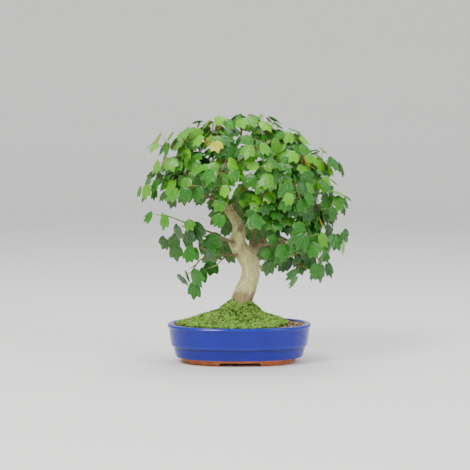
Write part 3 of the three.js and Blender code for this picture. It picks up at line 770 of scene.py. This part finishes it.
class BONSAI_OT_ground(bpy.types.Operator):
    """Lay the moss, its sprigs and the soil grains on the mound."""
    bl_idname = "bonsai.ground"
    bl_label = "Moss and soil"

    def execute(self, context):
        dress_node("soil", soil_finish())
        mat = moss_mat()
        moss_sprigs(mat)
        soil_grains(mat)
        return {"FINISHED"}


# ---------------------------------------------------------------- trunk and branches

# Wood from the first of these thicknesses on is trunk, and up to the second is twig.
TRUNK_WOOD, TWIG_WOOD = 20 * MM, 8 * MM
TRUNK_SWELL = 2.4 * MM
BULGE, BULGE_HEIGHT, BULGE_SPREAD = 3.5 * MM, 0.208, 16 * MM


def bark_finish():
    wood = settings("bonsai_wood")
    finish = Finish("maple_bark")
    height = finish.height()
    warped = finish.stretched(1, 1, 0.35)
    broad = finish.noise(38, 4, warped)
    plates = finish.noise(120, 6, warped, 0.62)
    fine = finish.noise(620, 5, finish.stretched(1, 1, 0.5))
    pores = finish.add("TexVoronoi", Vector=finish.stretched(1, 1, 3.2), Scale=150.0)
    dots = finish.ramp(pores.outputs["Distance"], (0.10, 1), (0.24, 0))
    # Painted shade: the bark takes its furrow colour where the plates' bump is low, and its light colour on
    # the raised plates.
    tone = finish.mix(finish.ramp(plates, (0.36, 0), (0.6, 1)), wood.furrow_shade_and_streaks, wood.bark)
    green = finish.ramp(broad, (0.42, 0), (0.66, 0.30))
    tone = finish.mix(green, tone, (0.50, 0.53, 0.24))
    tone = finish.mix(finish.ramp(finish.noise(64, 3), (0.5, 0), (0.7, 0.4)), tone, (0.82, 0.78, 0.62))
    edge = finish.plus(finish.times(height, 5.0), finish.times(plates, 0.16))
    damp = finish.ramp(edge, (0.50, 1.0), (0.68, 0.8), (0.71, 0))
    grain = finish.noise(300, 4, finish.stretched(1, 1, 0.12))
    tone = finish.mix(finish.ramp(grain, (0.40, 0.5), (0.56, 0)), tone, wood.furrow_shade_and_streaks)
    tone = finish.mix(damp, tone, (0.24, 0.17, 0.08))
    top = finish.ramp(finish.times(height, 2.5), (0.64, 0), (0.74, 0.9))
    young = finish.math("MAXIMUM", top, finish.times(finish.attribute("thin"), 0.8))
    tone = finish.mix(young, tone, wood.young)
    spots = finish.times(dots, finish.ramp(broad, (0.38, 0.15), (0.60, 0.75)))
    tone = finish.mix(spots, tone, darker(wood.furrow_shade_and_streaks, 0.5))
    rough = finish.plus(plates, finish.times(fine, 0.4))
    normal = finish.bump(rough, 0.0018, 0.75)
    normal = finish.bump(dots, 0.0005, 0.6, Normal=normal)
    return finish.done(
        Base_Color=tone, Roughness=finish.ramp(fine, (0.3, 0.62), (0.7, 0.85)), Normal=normal,
        Specular_IOR_Level=0.35)


def evened(mesh, values, times):
    """The values at a mesh's points, evened out along its edges."""
    edges = Shape.read(mesh.edges, "vertices", 2, np.int32)
    ends, others = np.concatenate([edges, edges[:, ::-1]]).T
    count = np.bincount(ends, minlength=len(values))
    for _ in range(times):
        values = (values + np.bincount(ends, values[others], len(values)) / count) / 2
    return values


def fill_out(trunk):
    """Thickens the trunk, and bulges it to the left under its fork. Writes how thin the wood is at
    each point, 0 for the trunk and 1 for a twig."""
    mesh = trunk.data
    tree = surface_tree(trunk)
    thin = []
    for vertex in mesh.vertices:
        hit = tree.ray_cast(vertex.co - vertex.normal * 0.3 * MM, -vertex.normal)
        thin.append(smoothstep(TRUNK_WOOD, TWIG_WOOD, hit[3] or 0))
    thin = evened(mesh, np.array(thin), 45)
    normals = [vertex.normal.copy() for vertex in mesh.vertices]
    for vertex, normal, slight in zip(mesh.vertices, normals, thin):
        bulge = math.exp(-((vertex.co.z - BULGE_HEIGHT) / BULGE_SPREAD) ** 2) * max(-normal.x, 0)
        vertex.co += normal * (1 - slight) * (TRUNK_SWELL + BULGE * bulge)
    write_values(mesh, "thin", thin)
    mesh.update()


class BONSAI_OT_trunk(bpy.types.Operator):
    """Turn the trunk, branches and roots into one skin of swelling bark."""
    bl_idname = "bonsai.trunk"
    bl_label = "Trunk"

    def execute(self, context):
        wood = settings("bonsai_wood")
        trunk = copy_of_node("trunk", "trunk_wood")
        modify(trunk, "REMESH", mode="VOXEL", voxel_size=wood.voxel)
        modify(trunk, "SMOOTH", factor=0.5, iterations=4)
        fill_out(trunk)
        swell(trunk, 0.030, 2.0 * MM)
        swell(trunk, 0.009, 0.9 * MM)
        smooth(trunk, 80)
        finished(trunk, "bark", "trunk", materials=[bark_finish()])
        return {"FINISHED"}


# ---------------------------------------------------------------- leaves

# Half of a leaf's outline from its tip round to its stalk, as shares of its length: with its side
# lobes spread, and with them pointing forward.
LEAF_EDGE = (
    (0.12, 0.83), (0.215, 0.665), (0.47, 0.66), (0.49, 0.44), (0.44, 0.20), (0.31, 0.01), (0.13, -0.075),
)
FORWARD_EDGE = (
    (0.125, 0.88), (0.205, 0.745), (0.40, 0.84), (0.445, 0.55), (0.41, 0.27), (0.30, 0.05), (0.13, -0.055),
)
LEAF_TIP, LEAF_HEEL, LEAF_HUB = (0, 1.0), (0, 0.0), (0, 0.13)
# How far out the ring inside the rim lies, from the hub to the rim.
LEAF_RING = 0.55
LEAF_THICKNESS = 0.011
CAD_LOBE_SPAN = 0.94
BLADE_REACH = 0.62
STALK_RADIUS = 0.55 * MM
LEAF_LENGTH = 37 * MM
# The trunk is bare up to the first height, and the dome of leaves begins at the second.
BARE_TRUNK_TOP, DOME_FROM = 0.272, 0.285
# How far to the left and right of the pot's middle no leaf hangs before the trunk; the last is for
# the trunk's upper part, which leans to the left.
BARE_LEFT, BARE_RIGHT, BARE_RIGHT_ABOVE = -32 * MM, 46 * MM, 14 * MM
UPPER_TRUNK = BARE_TRUNK_TOP - 26 * MM
# The largest further leaf, as a share of a full one, and how far out in the crown it may be: in the
# first round of further leaves, and in the later ones.
FIRST_ROUND, LATER_ROUNDS = (0.86, 0.95), (0.72, 0.84)
ATTEMPTS = 7


def leaf_rim(half):
    """A leaf's whole outline."""
    return [LEAF_TIP, *half, LEAF_HEEL, *((-x, y) for x, y in reversed(half))]


def leaf_shape():
    """A three-lobed leaf of length 1, closed and thin: its rim, a ring inside it, and a hub above
    and below."""
    rim = leaf_rim(LEAF_EDGE)
    deselect()
    bpy.ops.mesh.primitive_circle_add(vertices=len(rim), radius=1, fill_type="NGON")
    leaf = new_piece("leaf")
    for vertex, (x, y) in zip(leaf.data.vertices, rim):
        vertex.co = (x, y, 0)
    edit_all()
    bpy.ops.mesh.extrude_region_move()
    bpy.ops.transform.resize(value=(LEAF_RING, LEAF_RING, 1), center_override=(*LEAF_HUB, 0))
    bpy.ops.mesh.poke()
    bpy.ops.object.mode_set(mode="OBJECT")
    work = opened(leaf)
    work.verts.ensure_lookup_table()
    edge = work.verts[:len(rim)]
    under = next((face for face in work.faces if len(face.verts) == len(rim)), None)
    if under:
        work.faces.remove(under)
    bottom = work.verts.new((*LEAF_HUB, -LEAF_THICKNESS))
    for one, two in zip(edge, [*edge[1:], edge[0]]):
        work.faces.new((two, one, bottom)).material_index = 1
    for vertex in work.verts:
        if vertex is bottom or vertex in edge:
            continue
        x = abs(vertex.co.x)
        on_rib = x < 0.01 or abs(x - LEAF_RING * LEAF_EDGE[2][0]) < 0.01
        vertex.co.z = LEAF_THICKNESS + (-0.012 if on_rib else 0.024)
    written(work, leaf)
    return Shape(leaf)


def forward_points(shape):
    """The same leaf with its side lobes pointing forward."""
    spread, forward = np.array(leaf_rim(LEAF_EDGE)), np.array(leaf_rim(FORWARD_EDGE))
    points = shape.points.copy()
    count = len(spread)
    points[:count, :2] = forward
    hub = np.array(LEAF_HUB)
    for i, (x, y) in enumerate(shape.points[count:, :2], start=count):
        away = np.hypot(*(hub + (spread - hub) * LEAF_RING - (x, y)).T)
        if away.min() < 1e-3:
            points[i, :2] = hub + (forward[away.argmin()] - hub) * LEAF_RING
    return points


def leaf_marks(shape):
    """For each of a leaf's points: 1 on its edge and 0 inside, and its place on the veins."""
    on_edge = np.zeros(len(shape.points))
    on_edge[:len(leaf_rim(LEAF_EDGE))] = 1
    uv = np.stack([shape.points[:, 0] + 0.5, shape.points[:, 1] * 0.9 + 0.06], axis=1)
    return on_edge, uv


class LeafPlace:
    """Where a blade begins, the ways it points and faces, its length, and how it is bent."""

    def __init__(self, end, along, facing, size, foot, chance):
        self.end, self.size, self.foot = end, size, foot
        self.face(along, facing)
        self.forward = chance.random() ** 1.3
        self.young = False
        self.fold = chance.uniform(-0.42, -0.06)
        self.droop = chance.uniform(-0.20, -0.04)
        self.twist = chance.uniform(-0.16, 0.16)
        self.width = chance.uniform(0.94, 1.08)

    def face(self, along, facing):
        self.along = along.normalized()
        self.facing = (facing - self.along * facing.dot(self.along)).normalized()
        self.across = self.along.cross(self.facing)

    @property
    def middle(self):
        return self.end + self.along * self.size * 0.5

    def hang(self, share):
        """Lets the blade sag from its stalk."""
        self.face(self.along - UP * share, self.facing)

    def points(self, shape):
        x, y, z = (shape.points + (shape.forward - shape.points) * self.forward).T
        bent = z + self.fold * x * x + self.droop * y * y + self.twist * x * y
        turn = np.array([self.across * self.width, self.along, self.facing])
        return np.array(self.end) + self.size * np.stack([x, y, bent], axis=1) @ turn


def cad_leaves(work):
    """The leaves of a merged CAD shoot, each as its rings of points from notches to mouth."""
    found = []
    for tip in work.verts:
        if len(tip.link_edges) != 3:
            continue
        rings, seen = [{tip}], {tip}
        while len(rings) < 6:
            ring = {edge.other_vert(vertex) for vertex in rings[-1] for edge in vertex.link_edges} - seen
            rings.append(ring)
            seen |= ring
            if len(ring) != 3:
                break
        else:
            found.append([list(ring) for ring in rings])
    return found


def middle_of(points):
    return sum((vertex.co for vertex in points), Vector()) / len(points)


def read_leaf(rings, chance):
    """A leaf's place, from the rings of the CAD leaf."""
    _, _, lobes, base, neck, mouth = rings
    pairs = [(lobes[0], lobes[1]), (lobes[0], lobes[2]), (lobes[1], lobes[2])]
    left, right = max(pairs, key=lambda pair: (pair[0].co - pair[1].co).length)
    rib = next(vertex for vertex in lobes if vertex not in (left, right))
    end = middle_of(neck)
    along = (middle_of(base) - end).normalized()
    across = (right.co - left.co).normalized()
    facing = across.cross(along)
    if facing.dot(rib.co - (left.co + right.co) / 2) < 0:
        facing.negate()
    size = (right.co - left.co).length / CAD_LOBE_SPAN
    return LeafPlace(end, along, facing, size, middle_of(mouth), chance)


def outward(point):
    """The way the crown's outside faces beside a point."""
    way = point - CROWN_CENTRE
    return Vector([w / reach ** 2 for w, reach in zip(way, CROWN_REACH)]).normalized()


def jitter(chance, spread):
    return Vector([chance.uniform(-spread, spread) for _ in range(3)])


def further_leaf(beside, chance, large):
    """A smaller leaf from the same joint of the twig as another, or from the stalk of a leaf that
    came after it."""
    stalk = beside.end - beside.foot
    foot = beside.foot + stalk * 0.6 if beside.young else beside.foot
    turn = chance.choice((-1, 1)) * math.radians(chance.uniform(25, 100))
    axis = (outward(foot) + jitter(chance, 0.5)).normalized()
    way = Matrix.Rotation(turn, 3, axis) @ stalk.normalized()
    way = (way + outward(foot) * 0.3 + UP * 0.1 + jitter(chance, 0.3)).normalized()
    end = foot + way * chance.uniform(9, 30) * MM
    facing = outward(end)
    facing.z *= 0.7
    facing = (facing + UP * 0.35 + jitter(chance, 0.45)).normalized()
    along = way * 0.75 + Vector((chance.uniform(-0.5, 0.5), chance.uniform(-0.5, 0.5), -0.8))
    size = LEAF_LENGTH * chance.uniform(large * 0.6, large)
    place = LeafPlace(end, along, facing, size, foot, chance)
    place.young = True
    return place


def crown_share(point):
    """How far out a point is: 0 in the crown's middle and 1 on its outside."""
    return Vector([w / reach for w, reach in zip(point - CROWN_CENTRE, CROWN_REACH)]).length


class Crown:
    """All the leaves so far, and whether another one is clear of them and of the wood."""

    def __init__(self, shape, wood):
        self.shape, self.wood, self.trees = shape, wood, []
        self.middles, self.reaches = np.zeros((0, 3)), np.zeros(0)
        spare = Vector((8, 8, 8)) * MM
        self.low, self.high = np.array(CAD_LOW - spare), np.array(CAD_HIGH + spare)

    def tree(self, points):
        return BVHTree.FromPolygons([Vector(point) for point in points], self.shape.faces)

    def away(self, place):
        """How far it is from a blade to each of the others."""
        return np.linalg.norm(self.middles - np.array(place.middle), axis=1)

    def room(self, place):
        return self.away(place).min()

    def clear(self, place, points, tree):
        if (points < self.low).any() or (points > self.high).any() or tree.overlap(self.wood):
            return False
        near = np.nonzero(self.away(place) < self.reaches + place.size * BLADE_REACH)[0]
        return not any(tree.overlap(self.trees[i]) for i in near)

    def grow(self, place, points, tree):
        self.trees.append(tree)
        self.middles = np.vstack([self.middles, place.middle])
        self.reaches = np.append(self.reaches, place.size * BLADE_REACH)
        return points


def leaf_finish(name, upper):
    leaf = settings("bonsai_leaf")
    finish = Finish(name)
    split = finish.add("SeparateXYZ", finish.add("UVMap").outputs[0])
    side = finish.math("ABSOLUTE", finish.minus(split.outputs[0], 0.5))
    along = finish.minus(split.outputs[1], 0.177)
    lobe = finish.minus(finish.times(side, 0.70), finish.times(along, 0.714))
    vein = finish.math("MINIMUM", side, finish.math("ABSOLUTE", lobe))
    vein = finish.ramp(vein, (0.004, 1), (0.022, 0))
    ribs = finish.math("SINE", finish.times(finish.minus(along, side), 62.0))
    ribs = finish.ramp(finish.times(finish.plus(ribs, 1.0), 0.5), (0.80, 0), (1.0, 1))
    veins = finish.math("MAXIMUM", vein, finish.times(ribs, 0.35))
    mottle = finish.noise(160, 3)
    spots = finish.times(finish.minus(mottle, 0.5), 0.30)
    shade = finish.plus(finish.attribute("tone"), spots)
    green = finish.ramp(shade, (0.0, leaf.dark), (0.5, leaf.middle), (0.86, leaf.light))
    green = finish.mix(finish.attribute("turning"), green, leaf.turned)
    if upper:
        green = finish.mix(finish.times(veins, 0.2), green, (0.26, 0.50, 0.08))
        margin = finish.ramp(finish.attribute("edge"), (0.86, 0), (1.0, 0.3))
        green = finish.mix(margin, green, (0.30, 0.52, 0.10))
        rough = finish.plus(finish.times(mottle, 0.24), leaf.gloss - 0.14)
        height = finish.minus(finish.noise(420, 3), finish.times(veins, 1.4))
        return finish.done(
            Base_Color=green, Roughness=rough, Normal=finish.bump(height, 0.0005, 0.55),
            Specular_IOR_Level=0.34, Coat_Weight=0.12, Coat_Roughness=0.12)
    pale = finish.mix(0.6, green, leaf.under)
    pale = finish.mix(finish.times(veins, 0.5), pale, (0.42, 0.52, 0.30))
    return finish.done(Base_Color=pale, Roughness=0.72, Normal=finish.bump(veins, 0.0005, 0.6))


def twig_finish():
    wood = settings("bonsai_wood")
    finish = Finish("young_stalks")
    streak = finish.noise(240, 4)
    tone = finish.mix(finish.ramp(streak, (0.35, 0), (0.65, 1)), wood.stalk, wood.young)
    tone = finish.mix(finish.ramp(finish.noise(70, 2), (0.5, 0), (0.7, 0.7)), tone, (0.23, 0.36, 0.08))
    red = finish.ramp(finish.times(finish.height(), 2.4), (0.76, 0), (0.88, 0.7))
    tone = finish.mix(finish.times(red, finish.noise(90, 2)), tone, (0.56, 0.14, 0.04))
    return finish.done(Base_Color=tone, Roughness=0.6, Normal=finish.bump(streak, 0.0003, 0.5))


def stalk_shape():
    """A thin five-sided stalk of length 1, swollen at both ends."""
    deselect()
    bpy.ops.mesh.primitive_cylinder_add(
        vertices=5, radius=1, depth=1, location=(0, 0, 0.5), end_fill_type="NGON")
    stalk = new_piece("stalk")
    bpy.ops.object.transform_apply()
    bpy.ops.object.mode_set(mode="EDIT")
    for height in (0.12, 0.5, 0.9):
        bpy.ops.mesh.select_all(action="SELECT")
        bpy.ops.mesh.bisect(plane_co=(0, 0, height), plane_no=(0, 0, 1))
    bpy.ops.object.mode_set(mode="OBJECT")
    for vertex in stalk.data.vertices:
        z = vertex.co.z
        vertex.co.xy *= 1.25 if z < 0.05 else (0.85 if z < 0.95 else 1.05)
    return Shape(stalk)


def stalk_points(shape, place):
    """The stalk shape drawn from the twig to the blade, sagging a little."""
    foot = place.foot - (place.end - place.foot).normalized() * 0.6 * MM
    way = place.end + place.along * 1.0 * MM - foot
    axis = way.normalized()
    side = axis.orthogonal().normalized()
    turn = np.array([side, axis.cross(side), axis])
    x, y, z = shape.points.T
    points = np.stack([x * STALK_RADIUS, y * STALK_RADIUS, z * way.length], axis=1) @ turn + np.array(foot)
    points[:, 2] -= 0.12 * way.length * z * (1 - z)
    return points


def hides_trunk(place):
    """True for a leaf that would hang before the bare part of the trunk."""
    middle = place.middle
    x, z = middle.x - POT_CENTRE.x, middle.z
    if middle.y > POT_CENTRE.y + 5 * MM or z > BARE_TRUNK_TOP:
        return False
    return BARE_LEFT < x < (BARE_RIGHT if z < UPPER_TRUNK else BARE_RIGHT_ABOVE)


def thinly_leaved(place):
    """True low down on the left, where the branches show."""
    x, z = place.end.x - POT_CENTRE.x, place.end.z
    return x < -36 * MM and z < BARE_TRUNK_TOP


def bare_twig(node, name, chance):
    """The CAD shoot without its blades, its stalks closed where they ended, and rounded; and the
    places of its leaves. A leaf that is left out takes its stalk with it."""
    twig = copy_of_node(node, name)
    work = opened(twig)
    places, gone, ends = [], set(), []
    for rings in cad_leaves(work):
        place = read_leaf(rings, chance)
        dropped = 0.65 if place.middle.x < POT_CENTRE.x - 92 * MM else 0.25
        kept = not hides_trunk(place) and not (thinly_leaved(place) and chance.random() < dropped)
        gone.update(vertex for ring in rings[:4 if kept else 5] for vertex in ring)
        ends.append(rings[4 if kept else 5])
        if kept:
            places.append(place)
    bmesh.ops.delete(work, geom=list(gone), context="VERTS")
    for end in ends:
        work.faces.new(end)
    written(work, twig)
    modify(twig, "DISPLACE", strength=0.16 * MM, mid_level=0.0)
    modify(twig, "SUBSURF", levels=1, render_levels=1)
    return twig, places


class BONSAI_OT_shoots(bpy.types.Operator):
    """Grow the twigs, their stalks and their leaves."""
    bl_idname = "bonsai.shoots"
    bl_label = "Leafy shoots"

    def execute(self, context):
        shape, stalk = leaf_shape(), stalk_shape()
        shape.forward = forward_points(shape)
        on_edge, uv = leaf_marks(shape)
        measure = copy_of_node("trunk", "trunk_measure")
        crown = Crown(shape, surface_tree(measure))
        bpy.data.objects.remove(measure)
        wood = twig_finish()
        upper, under = leaf_finish("leaf_upper", True), leaf_finish("leaf_underside", False)
        chances = {node: random.Random(int(node.split("_")[1])) for node in SHOOTS}
        shoots = [(node, *bare_twig(node, f"{node}_twig", chances[node])) for node in SHOOTS]
        blades = {node: [] for node in SHOOTS}
        stalks = {node: [] for node in SHOOTS}
        for node, _, places in shoots:
            for place in places:
                blades[node].append((place, self.fitted(crown, place, chances[node])))
        sites = {node: list(places) for node, _, places in shoots}
        for step in range(settings("bonsai_leaf").extra):
            large, within = FIRST_ROUND if step == 0 else LATER_ROUNDS
            for node in SHOOTS:
                chance = chances[node]
                for site in list(sites[node]):
                    low = site.end.z < DOME_FROM - 0.035
                    if thinly_leaved(site) or (low and step > 1) or chance.random() < 0.2:
                        continue
                    grown = self.tried(crown, site, chance, large, within)
                    if grown:
                        blades[node].append(grown)
                        stalks[node].append(stalk_points(stalk, grown[0]))
                        sites[node].append(grown[0])
        for node, twig, _ in shoots:
            if stalks[node]:
                more = stalk.repeat(f"{node}_stalks", stalks[node])
                pick(twig)
                more.select_set(True)
                bpy.ops.object.join()
            smooth(twig, 60)
            finished(twig, "twigs", node, materials=[wood])
            if not blades[node]:
                continue
            tones, turning = zip(*(self.tone(place, chances[node]) for place, _ in blades[node]))
            leaves = shape.repeat(
                f"{node}_leaves", [points for _, points in blades[node]], {"edge": on_edge},
                {"tone": tones, "turning": turning}, uv)
            smooth(leaves, 50)
            finished(leaves, "leaves", materials=[upper, under])
        return {"FINISHED"}

    @staticmethod
    def fitted(crown, place, chance):
        """A CAD leaf, sagging from its stalk, and made smaller where it would cut another."""
        high = place.end.z > DOME_FROM
        place.hang(chance.uniform(0.25, 0.8) if high else chance.uniform(0, 0.25))
        place.size *= chance.uniform(0.70, 0.92) if high else chance.uniform(0.80, 1.0)
        for attempt in range(ATTEMPTS):
            points = place.points(crown.shape)
            tree = crown.tree(points)
            if attempt == ATTEMPTS - 1 or crown.clear(place, points, tree):
                return crown.grow(place, points, tree)
            place.size *= 0.95
            place.hang(0.1)

    @staticmethod
    def tried(crown, beside, chance, large, within):
        """The roomiest of a few places for one more leaf, if any is clear."""
        options = [further_leaf(beside, chance, large) for _ in range(12)]
        options = [
            place for place in options
            if crown_share(place.middle) < within and not hides_trunk(place) and not thinly_leaved(place)]
        for place in sorted(options, key=crown.room, reverse=True)[:5]:
            if crown.room(place) < place.size * 0.34:
                return None
            points = place.points(crown.shape)
            tree = crown.tree(points)
            if crown.clear(place, points, tree):
                return place, crown.grow(place, points, tree)
        return None

    @staticmethod
    def tone(place, chance):
        """Higher, smaller and outer leaves are lighter, and a few turn yellow; leaves deep inside the crown
        are darker in painted shade.
        """
        high = (place.end.z - 0.15) / 0.28
        young = 1 - place.size / 0.036
        # The crown_share term is painted shade: leaves deep inside the crown are darker.
        tone = -0.02 + 0.42 * high + 0.24 * young + 0.22 * crown_share(place.end) + chance.gauss(0, 0.17)
        left_top = place.end.z > 0.34 and place.end.x < CROWN_CENTRE.x - 0.03
        turning = chance.uniform(0.25, 0.6) if chance.random() < (0.10 if left_top else 0.004) else 0.0
        return min(max(tone, 0.02), 0.98), turning


# ---------------------------------------------------------------- stage

def floor_finish():
    finish = Finish("stage_floor")
    tone = settings("bonsai_stage").floor
    faint = finish.mix(finish.ramp(finish.noise(3, 2), (0.4, 0), (0.6, 0.03)), tone, darker(tone, 0.9))
    return finish.done(Base_Color=faint, Roughness=0.9, Specular_IOR_Level=0.2)


# The camera's place beside the pot's middle, in metres, and how far it looks down and to the
# side, in degrees.
EYE_SIDE, EYE_DOWN, EYE_TURN = -0.046, 3.98, -0.79
LIT_POINT = Vector((0, 0, 0.2))
# The round floor and the wall that it curves up into: radius and height, in metres.
BACKDROP = ((4.2, 0), (4.6, 0.05), (4.95, 0.2), (5.2, 0.45), (5.35, 0.8), (5.4, 1.3), (5.4, 3.2))


class BONSAI_OT_stage(bpy.types.Operator):
    """Set the floor, the soft lights and the camera."""
    bl_idname = "bonsai.stage"
    bl_label = "Stage"

    def execute(self, context):
        stage = settings("bonsai_stage")
        deselect()
        bpy.ops.mesh.primitive_circle_add(vertices=96, radius=BACKDROP[0][0], fill_type="NGON")
        floor = new_piece("floor")
        edit_all()
        for (radius, height), (next_radius, next_height) in zip(BACKDROP, BACKDROP[1:]):
            bpy.ops.mesh.select_mode(type="EDGE")
            bpy.ops.mesh.select_all(action="SELECT")
            bpy.ops.mesh.region_to_loop()
            bpy.ops.mesh.extrude_edges_move(
                TRANSFORM_OT_translate={"value": (0, 0, next_height - height)})
            grow = next_radius / radius
            bpy.ops.transform.resize(value=(grow, grow, 1), center_override=(0, 0, 0))
        bpy.ops.object.mode_set(mode="OBJECT")
        smooth(floor, 80)
        floor.data.materials.append(floor_finish())
        world = bpy.data.worlds.new("soft_daylight")
        world.use_nodes = True
        sky = world.node_tree.nodes["Background"]
        sky.inputs["Color"].default_value = (0.93, 0.96, 1.0, 1)
        sky.inputs["Strength"].default_value = 0.9
        context.scene.world = world
        self.light("key_softbox", (-1.3, -2.0, 2.4), 1.1, 90, (1.0, 0.98, 0.95))
        self.light("fill_softbox", (1.9, -1.7, 1.5), 1.2, 34, (0.97, 0.98, 1.0))
        self.light("top_softbox", (0.2, 0.6, 2.8), 1.4, 40, (1.0, 1.0, 1.0))
        camera = bpy.data.cameras.new("camera")
        camera.lens = stage.lens
        camera.sensor_width = 36
        camera.clip_end = 50
        eye = linked("camera", camera)
        eye.location = (POT_CENTRE.x + EYE_SIDE, POT_CENTRE.y - stage.distance, stage.eye)
        eye.rotation_euler = (math.radians(90 - EYE_DOWN), 0, math.radians(EYE_TURN))
        context.scene.camera = eye
        return {"FINISHED"}

    @staticmethod
    def light(name, place, size, power, tint):
        data = bpy.data.lights.new(name, "AREA")
        data.size, data.energy, data.color = size, power, tint
        lamp = linked(name, data)
        lamp.location = place
        lamp.rotation_euler = (LIT_POINT - lamp.location).to_track_quat("-Z", "Y").to_euler()


# ---------------------------------------------------------------- panel and registration

GROUPS = {
    "bonsai_pot": BonsaiPotSettings,
    "bonsai_ground": BonsaiGroundSettings,
    "bonsai_wood": BonsaiWoodSettings,
    "bonsai_leaf": BonsaiLeafSettings,
    "bonsai_stage": BonsaiStageSettings,
}
OPERATORS = (
    BONSAI_OT_stage, BONSAI_OT_pot, BONSAI_OT_drainage, BONSAI_OT_ground, BONSAI_OT_trunk, BONSAI_OT_shoots)


class BONSAI_PT_panel(bpy.types.Panel):
    """The bonsai's pieces and settings."""
    bl_idname = "BONSAI_PT_panel"
    bl_label = "Bonsai"
    bl_space_type = "VIEW_3D"
    bl_region_type = "UI"
    bl_category = "Bonsai"

    def draw(self, context):
        for operator in OPERATORS:
            self.layout.operator(operator.bl_idname)
        for name, group in GROUPS.items():
            box = self.layout.box()
            box.label(text=name.replace("_", " ").title())
            for field in group.__annotations__:
                box.prop(getattr(context.scene, name), field)


def register():
    for cls in (*GROUPS.values(), *OPERATORS, BONSAI_PT_panel):
        bpy.utils.register_class(cls)
    for name, group in GROUPS.items():
        setattr(bpy.types.Scene, name, bpy.props.PointerProperty(type=group))


def unregister():
    for name in GROUPS:
        delattr(bpy.types.Scene, name)
    for cls in (BONSAI_PT_panel, *reversed(OPERATORS), *reversed(list(GROUPS.values()))):
        bpy.utils.unregister_class(cls)


def main():
    register()
    bpy.ops.bonsai.stage()
    bpy.ops.bonsai.pot()
    bpy.ops.bonsai.drainage()
    bpy.ops.bonsai.ground()
    bpy.ops.bonsai.trunk()
    bpy.ops.bonsai.shoots()


if __name__ == "__main__":
    main()
